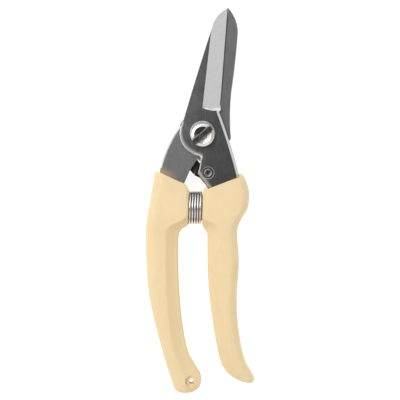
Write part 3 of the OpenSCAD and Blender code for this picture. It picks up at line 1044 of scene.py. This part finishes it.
def grip_body(node, ribs, bevel_drop):
    """Lofted grip, kept within its node's box."""
    ribs = [np.array(rib, float) for rib in ribs]
    fine = [between_ribs(ribs, i, k / STEPS_PER_RIB) for i in range(len(ribs) - 1)
            for k in range(STEPS_PER_RIB)] + [ribs[-1]]
    low, high = node_box(node)
    rings = [[tuple(np.clip(p, low, high)) for p in rib_ring(rib, bevel_drop)] for rib in fine]
    return skin(node + "_shell", rings)


def spring_cylinder(radius, start, end):
    """Cylinder on the spring's axis between two places across the tool."""
    rings = [[(x, y, z) for y, z in circle((COIL_Y, MID_Z), radius, 72)] for x in (start, end)]
    return skin("tool", rings)


def tang_cutter(corners, low, high, gap):
    """Solid that cuts a tang's way into a grip."""
    loop, _ = outline(corners)
    return prism("tool", loop, [(low - gap, gap), (high + gap, gap)])


def flared(loop, low, high, flare):
    """Cutter through a grip whose ends open out, so that it leaves chamfered edges."""
    past = flare + 1.5
    return prism("tool", loop, [
        (low + flare - past, past), (low + flare, 0), (high - flare, 0), (high - flare + past, past)])


def make_left_grip(sizes):
    """Left grip with its tang slot, spring seat, boss and hang hole."""
    low, high = MID_Z * 2 - GRIP_TOP, GRIP_TOP
    seat = SPRING_LOW[0] - FIT
    grip = grip_body("left_grip", LEFT_RIBS, sizes.bevel_drop / MM)
    boolean(grip, tang_cutter(REAR_CORNERS, REAR_Z, REAR_TOP, sizes.tang_gap / MM))
    boolean(grip, spring_cylinder(SEAT_R, seat, seat + SEAT_DEPTH))
    boolean(grip, spring_cylinder(BOSS_R, seat - CUT_PAST, seat + BOSS_H), "UNION")
    hang = np.array(HANG["pos_m"][:2]) / MM
    bore = circle(hang, HANG["dims"]["r_mm"])
    boolean(grip, prism("tool", bore, [(low - CUT_PAST, 0), (high + CUT_PAST, 0)]))
    for side in (-1, 1):
        heights = (0, HANG_RING_CHAMFER, HANG_RING_CUT)
        face, chamfer, away = (MID_Z + side * (HANG_RING_HALF + height) for height in heights)
        levels = [(face, -HANG_RING_CHAMFER), (chamfer, 0), (away, 0)]
        boolean(grip, prism("tool", circle(hang, HANG_RING_R), levels))
    return grip


def make_right_grip(sizes):
    """Right grip with its tang slot, open top, spring seat and boss."""
    low, high = MID_Z * 2 - GRIP_TOP, GRIP_TOP
    seat = SPRING_HIGH[0] + FIT
    grip = grip_body("right_grip", RIGHT_RIBS, sizes.bevel_drop / MM)
    boolean(grip, flared(TANG_WINDOW, low, high, WINDOW_CHAMFER))
    boolean(grip, tang_cutter(FRONT_CORNERS, FRONT_Z, FRONT_TOP, sizes.tang_gap / MM))
    boolean(grip, spring_cylinder(SEAT_R, seat - SEAT_DEPTH, seat))
    boolean(grip, spring_cylinder(BOSS_R, seat - BOSS_H, seat + CUT_PAST), "UNION")
    return grip


class SNIPS_OT_grips(bpy.types.Operator):
    """Makes the two moulded grips"""

    bl_idname = "snips.grips"
    bl_label = "Grips"

    def execute(self, context):
        plastic = grip_plastic(context.scene.snips_colours)
        for node, build in (("left_grip", make_left_grip), ("right_grip", make_right_grip)):
            piece = build(context.scene.snips_sizes)
            settle(piece, node, plastic)
        return {"FINISHED"}


# ---------------------------------------------------------------- pivot

SHANK_R = 3.5
THREAD_ROOT_R = 2.8
THREAD_CHAMFER = 0.4
# Rim of the bolt's head: width, height of its side below the top, and fall of its outer bevel
RIM_W = 1.4
RIM_SIDE = 0.75
RIM_FALL = 0.33
RIM_BEVEL = 0.4
# Dish of the head: depth in its middle, and the step left at its edge
DISH_DEPTH = 0.5
DISH_STEP = 0.12
# Slot: depth below the top, and fall of the bevels beside it below the dish
SLOT_DEPTH = 1.3
SLOT_BEVEL = 0.35
# How bright the slot's floor and walls are, and how far below the top they go at most
SLOT_SHINE = 0.25
SLOT_REACH = 1.5
WASHER_INNER_R = 4.6
# Room in the washer's box that its finished form leaves free
WASHER_ROOM = 0.3
SPRING_WASHER_INNER_R = 3.7
SPRING_WASHER_T = 0.45
NUT_BORE_R = 3.02
NUT_COUNTERSINK = 0.4


def bolt_profile(low, high, head_r):
    """Profile of the bolt before its slot is cut, as (radius, height) from the tip to the dish."""
    seat = node_box("pivot_washer")[1][2]
    neck = node_box("pivot_nut")[1][2]
    dish_r = head_r - RIM_W
    dish = [(r, high - DISH_DEPTH + (DISH_DEPTH - DISH_STEP) * (r / dish_r) ** 2)
            for r in (dish_r, 3.5, 2.4, 1.2, 0)]
    return [
        (0, low), (THREAD_ROOT_R - THREAD_CHAMFER, low), (THREAD_ROOT_R, low + THREAD_CHAMFER),
        (THREAD_ROOT_R, neck), (SHANK_R, neck), (SHANK_R, seat), (head_r, seat),
        (head_r, high - RIM_SIDE), (head_r - RIM_BEVEL, high - RIM_FALL), (dish_r, high), *dish,
    ]


def make_bolt(sizes):
    """Pivot bolt: a dished, slotted head with a bevelled rim, the shank and the threaded end."""
    low, high = node_box("pivot_bolt")
    head_r = (high[0] - low[0]) / 2
    profile = bolt_profile(low[2], high[2], head_r)
    bolt = lathe("pivot_bolt_steel", PIVOT, profile, radius=0.12, steps=128)
    half = sizes.slot_width / MM / 2
    lip = SLOT_BEVEL + DISH_DEPTH
    above = 0.4
    section = [(-half, -SLOT_DEPTH), (half, -SLOT_DEPTH), (half, -lip), (half + lip + above, above),
               (-half - lip - above, above), (-half, -lip)]
    turn = cmath.rect(1, math.radians(SLOT_ANGLE))
    rings = []
    for along in (-head_r - CUT_PAST, head_r + CUT_PAST):
        spots = [((along + 1j * s) * turn, h) for s, h in section]
        rings.append([(PIVOT[0] + p.real, PIVOT[1] + p.imag, high[2] + h) for p, h in spots])
    boolean(bolt, skin("tool", rings))
    mark_bolt(bolt.data, head_r - RIM_W, high[2] - SLOT_REACH, turn, half - FIT)
    return bolt


def mark_bolt(mesh, dish_r, lowest, turn, slot_half):
    """Marks the bright turned rim and the slot's bevels as ground, and the dished face, which takes the
    painted dark reflection, as not.
    """
    attribute = mesh.attributes.new("ground", "FLOAT", "CORNER")
    for face in mesh.polygons:
        spot = face.center / MM
        away = complex(spot[0] - PIVOT[0], spot[1] - PIVOT[1])
        dished = abs(away) < dish_r and spot[2] > lowest
        bevelled = 0.3 <= face.normal.z <= 0.93
        in_slot = dished and abs((away / turn).imag) < slot_half
        value = SLOT_SHINE if in_slot else 0.0 if dished and not bevelled else 1.0
        for loop in face.loop_indices:
            attribute.data[loop].value = value


def make_washer():
    """Flat washer under the bolt's head, pushed up against one side of the shank."""
    low, high = node_box("pivot_washer")
    centre = (low[:2] + high[:2]) / 2
    outer, inner = (high[0] - low[0]) / 2 - WASHER_ROOM, WASHER_INNER_R
    section = [(inner, low[2]), (outer, low[2]), (outer, high[2]), (inner, high[2])]
    return lathe("pivot_washer_steel", centre, section, ring=True, radius=0.18)


def make_spring_washer():
    """Dished spring washer between the rear blade and the nut."""
    low, high = node_box("pivot_spring_washer")
    width = (high[0] - low[0]) / 2 - SPRING_WASHER_INNER_R
    rise = high[2] - low[2] - SPRING_WASHER_T
    under = [(SPRING_WASHER_INNER_R + width * share, low[2] + rise * share ** 1.5)
             for share in (0, 0.35, 0.7, 1)]
    over = [(r, z + SPRING_WASHER_T) for r, z in reversed(under)]
    return lathe("pivot_spring_washer_steel", PIVOT, under + over, ring=True, radius=0.12)


def make_nut():
    """Hexagon nut, chamfered at both faces and countersunk at its thread."""
    low, high = node_box("pivot_nut")
    flats, corner = (high[1] - low[1]) / 2, (high[0] - low[0]) / 2
    side, mouth = corner + 0.05, NUT_BORE_R + NUT_COUNTERSINK
    nut = lathe("pivot_nut_steel", PIVOT, [
        (NUT_BORE_R, low[2] + NUT_COUNTERSINK), (mouth, low[2]), (flats - 0.3, low[2]),
        (side, low[2] + 0.9), (side, high[2] - 0.35), (flats + 0.1, high[2]), (mouth, high[2]),
        (NUT_BORE_R, high[2] - NUT_COUNTERSINK),
    ], ring=True, radius=0.1)
    levels = [(low[2] - CUT_PAST, 0), (high[2] + CUT_PAST, 0)]
    boolean(nut, prism("tool", circle(PIVOT, corner, 6), levels), "INTERSECT")
    return nut


# ---------------------------------------------------------------- coils by Geometry Nodes

WIRE_SIDES = 16
STEPS_PER_TURN = 72
# How far inside each of its ends the spring is held by the grip
THREAD_TURNS = 2.5
THREAD_CREST_R = 3.0
THREAD_RIDGE = 0.2
# How far the thread runs up into the nut
THREAD_IN_NUT = 0.6


def coil_tree():
    """Geometry Nodes tree that sweeps a round wire along a helix and puts it in its place."""
    tree = bpy.data.node_groups.get("Coil")
    if tree:
        return tree
    tree = bpy.data.node_groups.new("Coil", "GeometryNodeTree")
    tree.interface.new_socket("Geometry", in_out="OUTPUT", socket_type="NodeSocketGeometry")
    kinds = {
        "Turns": "NodeSocketFloat", "Radius": "NodeSocketFloat", "Length": "NodeSocketFloat",
        "Wire radius": "NodeSocketFloat", "Turn": "NodeSocketVector", "Place": "NodeSocketVector",
        "Material": "NodeSocketMaterial",
    }
    for label, kind in kinds.items():
        tree.interface.new_socket(label, in_out="INPUT", socket_type=kind)
    given = tree.nodes.new("NodeGroupInput")

    def node(kind, **inputs):
        made = tree.nodes.new(kind)
        for label, value in inputs.items():
            socket = made.inputs[label.replace("_", " ")]
            if isinstance(value, bpy.types.NodeSocket):
                tree.links.new(value, socket)
            else:
                socket.default_value = value
        return made.outputs[0]

    path = node("GeometryNodeCurveSpiral", Resolution=STEPS_PER_TURN,
                Rotations=given.outputs["Turns"], Start_Radius=given.outputs["Radius"],
                End_Radius=given.outputs["Radius"], Height=given.outputs["Length"])
    section = node("GeometryNodeCurvePrimitiveCircle", Resolution=WIRE_SIDES,
                   Radius=given.outputs["Wire radius"])
    swept = node("GeometryNodeCurveToMesh", Curve=path, Profile_Curve=section, Fill_Caps=True)
    placed = node("GeometryNodeTransform", Geometry=swept, Translation=given.outputs["Place"],
                  Rotation=given.outputs["Turn"])
    real = node("GeometryNodeRealizeInstances", Geometry=placed)
    finished = node("GeometryNodeSetMaterial", Geometry=real, Material=given.outputs["Material"])
    out = tree.nodes.new("NodeGroupOutput")
    tree.links.new(finished, out.inputs[0])
    return tree


def coil(name, tree, **values):
    """Plain mesh piece of one coil, whose lengths are given in millimetres."""
    piece = bpy.data.objects.new(name, bpy.data.meshes.new(name))
    bpy.context.scene.collection.objects.link(piece)
    modifier = piece.modifiers.new("Coil", "NODES")
    modifier.node_group = tree
    for item in tree.interface.items_tree:
        if item.in_out == "INPUT":
            modifier[item.identifier] = values[item.name.replace(" ", "_").lower()]
    bake_modifiers(piece)
    turn_outwards(piece.data)
    return piece


def wire_rings(mesh):
    """Points of a coil's mesh, and for each the middle of the ring of wire that it is on."""
    if len(mesh.vertices) % WIRE_SIDES:
        raise RuntimeError(f"{mesh.name} isn't made of whole rings")
    points = np.empty(len(mesh.vertices) * 3, np.float32)
    mesh.vertices.foreach_get("co", points)
    middles = points.reshape(-1, WIRE_SIDES, 3).mean(axis=1)
    return points.reshape(-1, 3), np.repeat(middles, WIRE_SIDES, axis=0)


def make_spring(sizes, material):
    """Compression spring between the grips, whose "crown" attribute is 1 on top of its wire."""
    wire_r = sizes.wire_d / MM / 2
    start, end = SPRING_LOW[0] + wire_r, SPRING_HIGH[0] - wire_r
    spring = coil(
        "spring_wire", coil_tree(), turns=float(sizes.spring_turns),
        radius=((SPRING_HIGH[1] - SPRING_LOW[1]) / 2 - wire_r) * MM,
        length=(end - start) * MM, wire_radius=wire_r * MM, turn=(0, math.pi / 2, 0),
        place=(start * MM, COIL_Y * MM, MID_Z * MM), material=material)
    points, middles = wire_rings(spring.data)
    crown = 1 - np.abs(points[:, 0] - middles[:, 0]) / (wire_r * MM)
    spring.data.attributes.new("crown", "FLOAT", "POINT").data.foreach_set("value", crown)
    return spring


def make_thread(material):
    """Thread on the end of the bolt, below the nut."""
    low = node_box("pivot_bolt")[0][2] + THREAD_RIDGE
    high = node_box("pivot_nut")[0][2] + THREAD_IN_NUT - THREAD_RIDGE
    return coil(
        "pivot_bolt_thread", coil_tree(), turns=THREAD_TURNS,
        radius=(THREAD_CREST_R - THREAD_RIDGE) * MM, length=(high - low) * MM,
        wire_radius=THREAD_RIDGE * MM, turn=(0, 0, 0),
        place=(PIVOT[0] * MM, PIVOT[1] * MM, low * MM), material=material)


class SNIPS_OT_pivot(bpy.types.Operator):
    """Makes the pivot bolt, its washers and its nut"""

    bl_idname = "snips.pivot"
    bl_label = "Pivot"

    def execute(self, context):
        plated = context.scene.snips_colours.plated
        polished = bolt_steel(context.scene.snips_colours)
        satin = bright_steel("washer_steel", shade(plated, 0.82), 0.34, 4.0)
        settle(make_bolt(context.scene.snips_sizes), "pivot_bolt", polished)
        settle(make_washer(), "pivot_washer", satin)
        settle(make_spring_washer(), "pivot_spring_washer", satin)
        settle(make_nut(), "pivot_nut", satin)
        thread = make_thread(satin)
        smooth_faces(thread.data, COIL_SHARP_ANGLE)
        edge_wear(thread.data)
        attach(thread, BODY_OF["pivot_bolt"])
        return {"FINISHED"}


class SNIPS_OT_spring(bpy.types.Operator):
    """Makes the spring between the grips"""

    bl_idname = "snips.spring"
    bl_label = "Spring"

    def execute(self, context):
        wire = wire_steel(context.scene.snips_colours)
        spring = make_spring(context.scene.snips_sizes, wire)
        smooth_faces(spring.data, COIL_SHARP_ANGLE)
        # Each ring is drawn in to its middle while the piece's placing is baked into its mesh, and then
        # put back
        points, middles = wire_rings(spring.data)
        spring.data.vertices.foreach_set("co", middles.ravel())
        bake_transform(spring)
        spring.data.vertices.foreach_set("co", points.ravel())
        spring.data.update()
        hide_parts("spring")
        return {"FINISHED"}


# ---------------------------------------------------------------- latch

# The lever's own plane has X from the rivet along its arm, which points this way, in degrees
LEVER_ANGLE = 146.7
LEVER_T = 2.1
LEVER_Z = node_box("latch_washer")[1][2] + FIT
LEVER_TOP = LEVER_Z + LEVER_T
LEVER_BORE_R = 2.5
LEVER_WALL_SHINE = 0.05
# Catch pin in the lever's plane
CATCH_REACH = 11.5
CATCH_SIDE = 0.5
CATCH_R = 1.25
# Thumb tab: distance from the rivet, thickness, how far it turns down, its ends and its shine
TAB_REACH = 6.5
TAB_T = 1.6
TAB_DROP = 2.6
TAB_SIDES = (1.2, -3.4)
TAB_SHINE = 0.4
# Ridge across the arm: its foot, which way it runs, its length, rise and bright face's lean
RIDGE_FOOT = np.array([4.85, 4.2])
RIDGE_ANGLE = 16
RIDGE_LENGTH = 3.3
RIDGE_RISE = 2.4
RIDGE_LEAN = 14
# Small bevel on the ridge and the tab
BAR_BEVEL = 0.25
BUSH_NECK_R = 2.45
RIVET_SHANK_R = 1.5
RIVET_HEAD_R = 2.0
RIVET_TAIL_R = 2.6


def at_lever(points):
    """Points of the lever's own plane, with X along its arm, placed on the tool."""
    turn = math.radians(LEVER_ANGLE)
    x, y = np.array([math.cos(turn), math.sin(turn)]), np.array([-math.sin(turn), math.cos(turn)])
    return [RIVET + p[0] * x + p[1] * y for p in points]


def lever_corners():
    """Corners of the lever: thumb end, arm, and the hook round the catch pin."""
    left = CATCH_REACH - CATCH_R - 0.35
    right = CATCH_REACH + CATCH_R + 0.6
    tip = right + 1.75
    bridge = CATCH_SIDE + CATCH_R + 0.45
    finger = CATCH_SIDE - 0.2
    return [
        (-TAB_REACH, -3.8, 0), (2, -4.4, 0), (6.1, -1.9, 0), (8.3, -2.7, 0), (left, -2.6, 0),
        (left, bridge, 0), (right, bridge, 0), (right, finger, 0), (tip - 0.6, finger, -0.2),
        (tip, 1.2, -0.4), (tip - 2.2, bridge + 1.3, 0), (8.4, 3.55, 0), (4.9, 4.45, -0.3),
        (-3, 2.6, 0), (-TAB_REACH, 1.6, 0),
    ]


def bar(name, start, end, section, base):
    """Straight bar on the lever from start to end, over a section of (side, height) points."""
    along = (np.array(end) - start) / np.linalg.norm(np.array(end) - start)
    side = np.array([-along[1], along[0]])
    rings = []
    for point in (np.array(start), np.array(end)):
        flat = at_lever([point + side * s for s, _ in section])
        rings.append([(*p, base + h) for p, (_, h) in zip(flat, section)])
    return skin(name, rings)


def add_ground(piece, direction, value):
    """Marks the faces that look along direction as ground, and all others as not."""
    attribute = piece.data.attributes.new("ground", "FLOAT", "CORNER")
    for face in piece.data.polygons:
        found = value if face.normal.dot(Vector(direction)) > 0.9 else 0.0
        for loop in face.loop_indices:
            attribute.data[loop].value = found


def make_ridge():
    """Ridge across the lever's arm, with one bright face."""
    turn, lean = math.radians(RIDGE_ANGLE), math.radians(RIDGE_LEAN)
    end = RIDGE_FOOT + RIDGE_LENGTH * np.array([math.sin(turn), -math.cos(turn)])
    shoulder = RIDGE_RISE - BAR_BEVEL
    section = [(-0.9, -0.3), (0.7, -0.3), (0.7, 0), (0.2, shoulder), (-0.1, RIDGE_RISE),
               (-0.65, RIDGE_RISE), (-0.9, shoulder)]
    ridge = bar("tool", RIDGE_FOOT, end, section, LEVER_TOP)
    side = (at_lever([(math.cos(turn), math.sin(turn))])[0] - RIVET) * math.cos(lean)
    add_ground(ridge, (*side, math.sin(lean)), 1.0)
    return ridge


def make_tab():
    """Thumb tab, turned down at the lever's end."""
    foot = BAR_BEVEL - TAB_DROP
    section = [(BAR_BEVEL, -TAB_DROP), (TAB_T - BAR_BEVEL, -TAB_DROP), (TAB_T, foot),
               (TAB_T, LEVER_T / 2), (0.02, LEVER_T / 2), (0.02, foot)]
    start, end = ((-TAB_REACH, side) for side in TAB_SIDES)
    tab = bar("tool", start, end, section, LEVER_Z)
    add_ground(tab, (0, 0, -1), TAB_SHINE)
    return tab


def make_lever():
    """Latch lever: a flat hook with a thumb tab turned down and a ridge across its arm."""
    corners = lever_corners()
    spots = at_lever([c[:2] for c in corners])
    loop, kinds = outline([(*p, c[2], "lever") for p, c in zip(spots, corners)])
    edges = Edges(loop, kinds)

    def shine(centres, corners):
        return edges.value(corners, "shine")

    lever = plate(
        "latch_lever_steel", loop, [circle(RIVET, LEVER_BORE_R)], edges.creases(),
        lambda xy: LEVER_TOP - edges.value(xy, "drop"),
        lambda xy: LEVER_Z + edges.value(xy, "drop"), shine, shine, LEVER_WALL_SHINE)
    boolean(lever, make_ridge(), "UNION")
    boolean(lever, make_tab(), "UNION")
    return lever


def make_bush():
    """Stepped bush that the lever turns on."""
    low, high = node_box("latch_bush")
    outer, shoulder = (high[0] - low[0]) / 2, LEVER_TOP + FIT
    return lathe("latch_bush_steel", RIVET, [
        (RIVET_SHANK_R, low[2]), (BUSH_NECK_R, low[2]), (BUSH_NECK_R, shoulder),
        (outer, shoulder), (outer, high[2]), (RIVET_SHANK_R, high[2]),
    ], ring=True, radius=0.12, steps=64)


def make_latch_washer():
    """Washer between the lever and the rivet's tail."""
    low, high = node_box("latch_washer")
    outer, inner = (high[0] - low[0]) / 2, RIVET_SHANK_R
    section = [(inner, low[2]), (outer, low[2]), (outer, high[2]), (inner, high[2])]
    return lathe("latch_washer_steel", RIVET, section, ring=True, radius=0.15, steps=64)


def make_rivet():
    """Rivet with a cupped head in the front blade's counterbore and a pressed tail."""
    low, top = (corner[2] for corner in node_box("latch_rivet"))
    recess = FRONT_TOP - COUNTERBORE[0][1]
    tail_top = node_box("latch_washer")[0][2]
    return lathe("latch_rivet_steel", RIVET, [
        (0, low + 0.15), (1.0, low + 0.12), (1.5, low), (2.0, low + 0.1),
        (RIVET_TAIL_R, tail_top - 0.35), (RIVET_TAIL_R - 0.1, tail_top), (RIVET_SHANK_R, tail_top),
        (RIVET_SHANK_R, recess), (RIVET_HEAD_R + 0.15, recess), (RIVET_HEAD_R + 0.1, top - 0.3),
        (RIVET_HEAD_R - 0.25, top), (RIVET_HEAD_R - 0.6, top - 0.05), (1.1, top - 0.45),
        (0, top - 0.55),
    ], radius=0.1, steps=80)


def make_catch_pin():
    """Pin in the back of the rear tang that the hook catches."""
    low, high = node_box("catch_pin")
    centre = at_lever([(CATCH_REACH, CATCH_SIDE)])[0]
    section = [(0, low[2]), (CATCH_R, low[2]), (CATCH_R, high[2]), (0, high[2])]
    return lathe("catch_pin_steel", centre, section, radius=0.3, steps=64)


class SNIPS_OT_latch(bpy.types.Operator):
    """Makes the latch lever, its bush, washer and rivet, and the catch pin"""

    bl_idname = "snips.latch"
    bl_label = "Latch"

    def execute(self, context):
        colours = context.scene.snips_colours
        settle(make_lever(), "latch_lever", black_steel(colours))
        # Plated steel painted dark, a painted dark reflection in the rivet's cupped head, with its
        # outward edges painted four times as bright, a painted highlight on the rims of the rivet and its
        # pieces
        steel = bright_steel("rivet_steel", shade(colours.plated, 0.32), 0.22, 5.0, 1.0, 4.0)
        for node, build in (("latch_bush", make_bush), ("latch_washer", make_latch_washer),
                            ("latch_rivet", make_rivet), ("catch_pin", make_catch_pin)):
            settle(build(), node, steel)
        return {"FINISHED"}


# ---------------------------------------------------------------- stage

# Width that the camera sees at this height above the floor
VIEW_WIDTH = 192.2
VIEW_Z = 10
# Focal length and sensor width
LENS = 150
SENSOR = 36
FLOOR_REACH = 1500
# Softboxes: place and size in metres and power in watts, all aimed at the middle of the floor
SOFTBOXES = {
    "key": ((-0.42, 0.35, 0.8), 0.75, 4.5),
    "fill": ((0.1, -0.65, 0.65), 1.0, 1.6),
    "back": ((0.1, 0.8, 0.5), 0.5, 1.2),
}
WORLD_STRENGTH = 0.62
# The studio's ceiling is dark above the tool: the angles from the middle of the dark part where
# it starts and is full, how far that middle leans from upright, and the light left in it
DARK_FROM, DARK_TO = 25, 17
DARK_LEAN = 11
DARK_LEVEL = 0.12


class SNIPS_OT_stage(bpy.types.Operator):
    """Makes the floor, the soft studio light and the camera straight above the tool"""

    bl_idname = "snips.stage"
    bl_label = "Stage"

    def execute(self, context):
        scene = context.scene
        corners = [(x * FLOOR_REACH, y * FLOOR_REACH, 0) for x, y in ((-1, -1), (1, -1), (1, 1), (-1, 1))]
        floor = new_piece("floor", corners, [(0, 1, 2, 3)])
        floor.data.materials.append(floor_paint(scene.snips_colours))

        for name, (place, size, power) in SOFTBOXES.items():
            light = bpy.data.lights.new(name, "AREA")
            light.size, light.energy = size, power
            lamp = bpy.data.objects.new(name, light)
            lamp.location = place
            lamp.rotation_euler = (-Vector(place)).to_track_quat("-Z", "Y").to_euler()
            scene.collection.objects.link(lamp)

        world = bpy.data.worlds.new("studio")
        world.use_nodes = True
        background = world.node_tree.nodes["Background"]
        nodes, links = world.node_tree.nodes, world.node_tree.links
        ceiling = nodes.new("ShaderNodeMapRange")
        ceiling.interpolation_type = "SMOOTHSTEP"
        ceiling.inputs["From Min"].default_value = math.cos(math.radians(DARK_FROM))
        ceiling.inputs["From Max"].default_value = math.cos(math.radians(DARK_TO))
        ceiling.inputs["To Min"].default_value = 1
        ceiling.inputs["To Max"].default_value = DARK_LEVEL
        lean = math.radians(DARK_LEAN)
        toward = nodes.new("ShaderNodeVectorMath")
        toward.operation = "DOT_PRODUCT"
        toward.inputs[1].default_value = (0, -math.sin(lean), math.cos(lean))
        links.new(nodes.new("ShaderNodeTexCoord").outputs["Generated"], toward.inputs[0])
        links.new(toward.outputs["Value"], ceiling.inputs["Value"])
        links.new(ceiling.outputs[0], background.inputs["Color"])
        background.inputs["Strength"].default_value = WORLD_STRENGTH
        scene.world = world

        lens = bpy.data.cameras.new("camera")
        lens.lens, lens.sensor_width = LENS, SENSOR
        lens.clip_start, lens.clip_end = 0.01, 10
        camera = bpy.data.objects.new("camera", lens)
        camera.location = (0, 0, (VIEW_Z + VIEW_WIDTH * LENS / SENSOR) * MM)
        scene.collection.objects.link(camera)
        scene.camera = camera
        scene.view_settings.view_transform = "Standard"
        return {"FINISHED"}


# ---------------------------------------------------------------- add-on

OPERATORS = (
    SNIPS_OT_blades, SNIPS_OT_grips, SNIPS_OT_pivot, SNIPS_OT_spring, SNIPS_OT_latch, SNIPS_OT_stage,
)


class SNIPS_PT_panel(bpy.types.Panel):
    """Lists the sizes, the colours and the steps that make the snips"""

    bl_idname = "SNIPS_PT_panel"
    bl_label = "Floral snips"
    bl_space_type = "VIEW_3D"
    bl_region_type = "UI"
    bl_category = "Snips"

    def draw(self, context):
        for group in (context.scene.snips_sizes, context.scene.snips_colours):
            box = self.layout.box()
            for name in group.__annotations__:
                box.prop(group, name)
        for operator in OPERATORS:
            self.layout.operator(operator.bl_idname)


CLASSES = (SnipsSizes, SnipsColours, *OPERATORS, SNIPS_PT_panel)


def register():
    for item in CLASSES:
        bpy.utils.register_class(item)
    bpy.types.Scene.snips_sizes = PointerProperty(type=SnipsSizes)
    bpy.types.Scene.snips_colours = PointerProperty(type=SnipsColours)


def unregister():
    del bpy.types.Scene.snips_colours
    del bpy.types.Scene.snips_sizes
    for item in reversed(CLASSES):
        bpy.utils.unregister_class(item)


def main():
    """Makes every piece and the stage."""
    register()
    for operator in OPERATORS:
        name = operator.bl_idname.split(".")[1]
        getattr(bpy.ops.snips, name)()


if __name__ == "__main__":
    main()
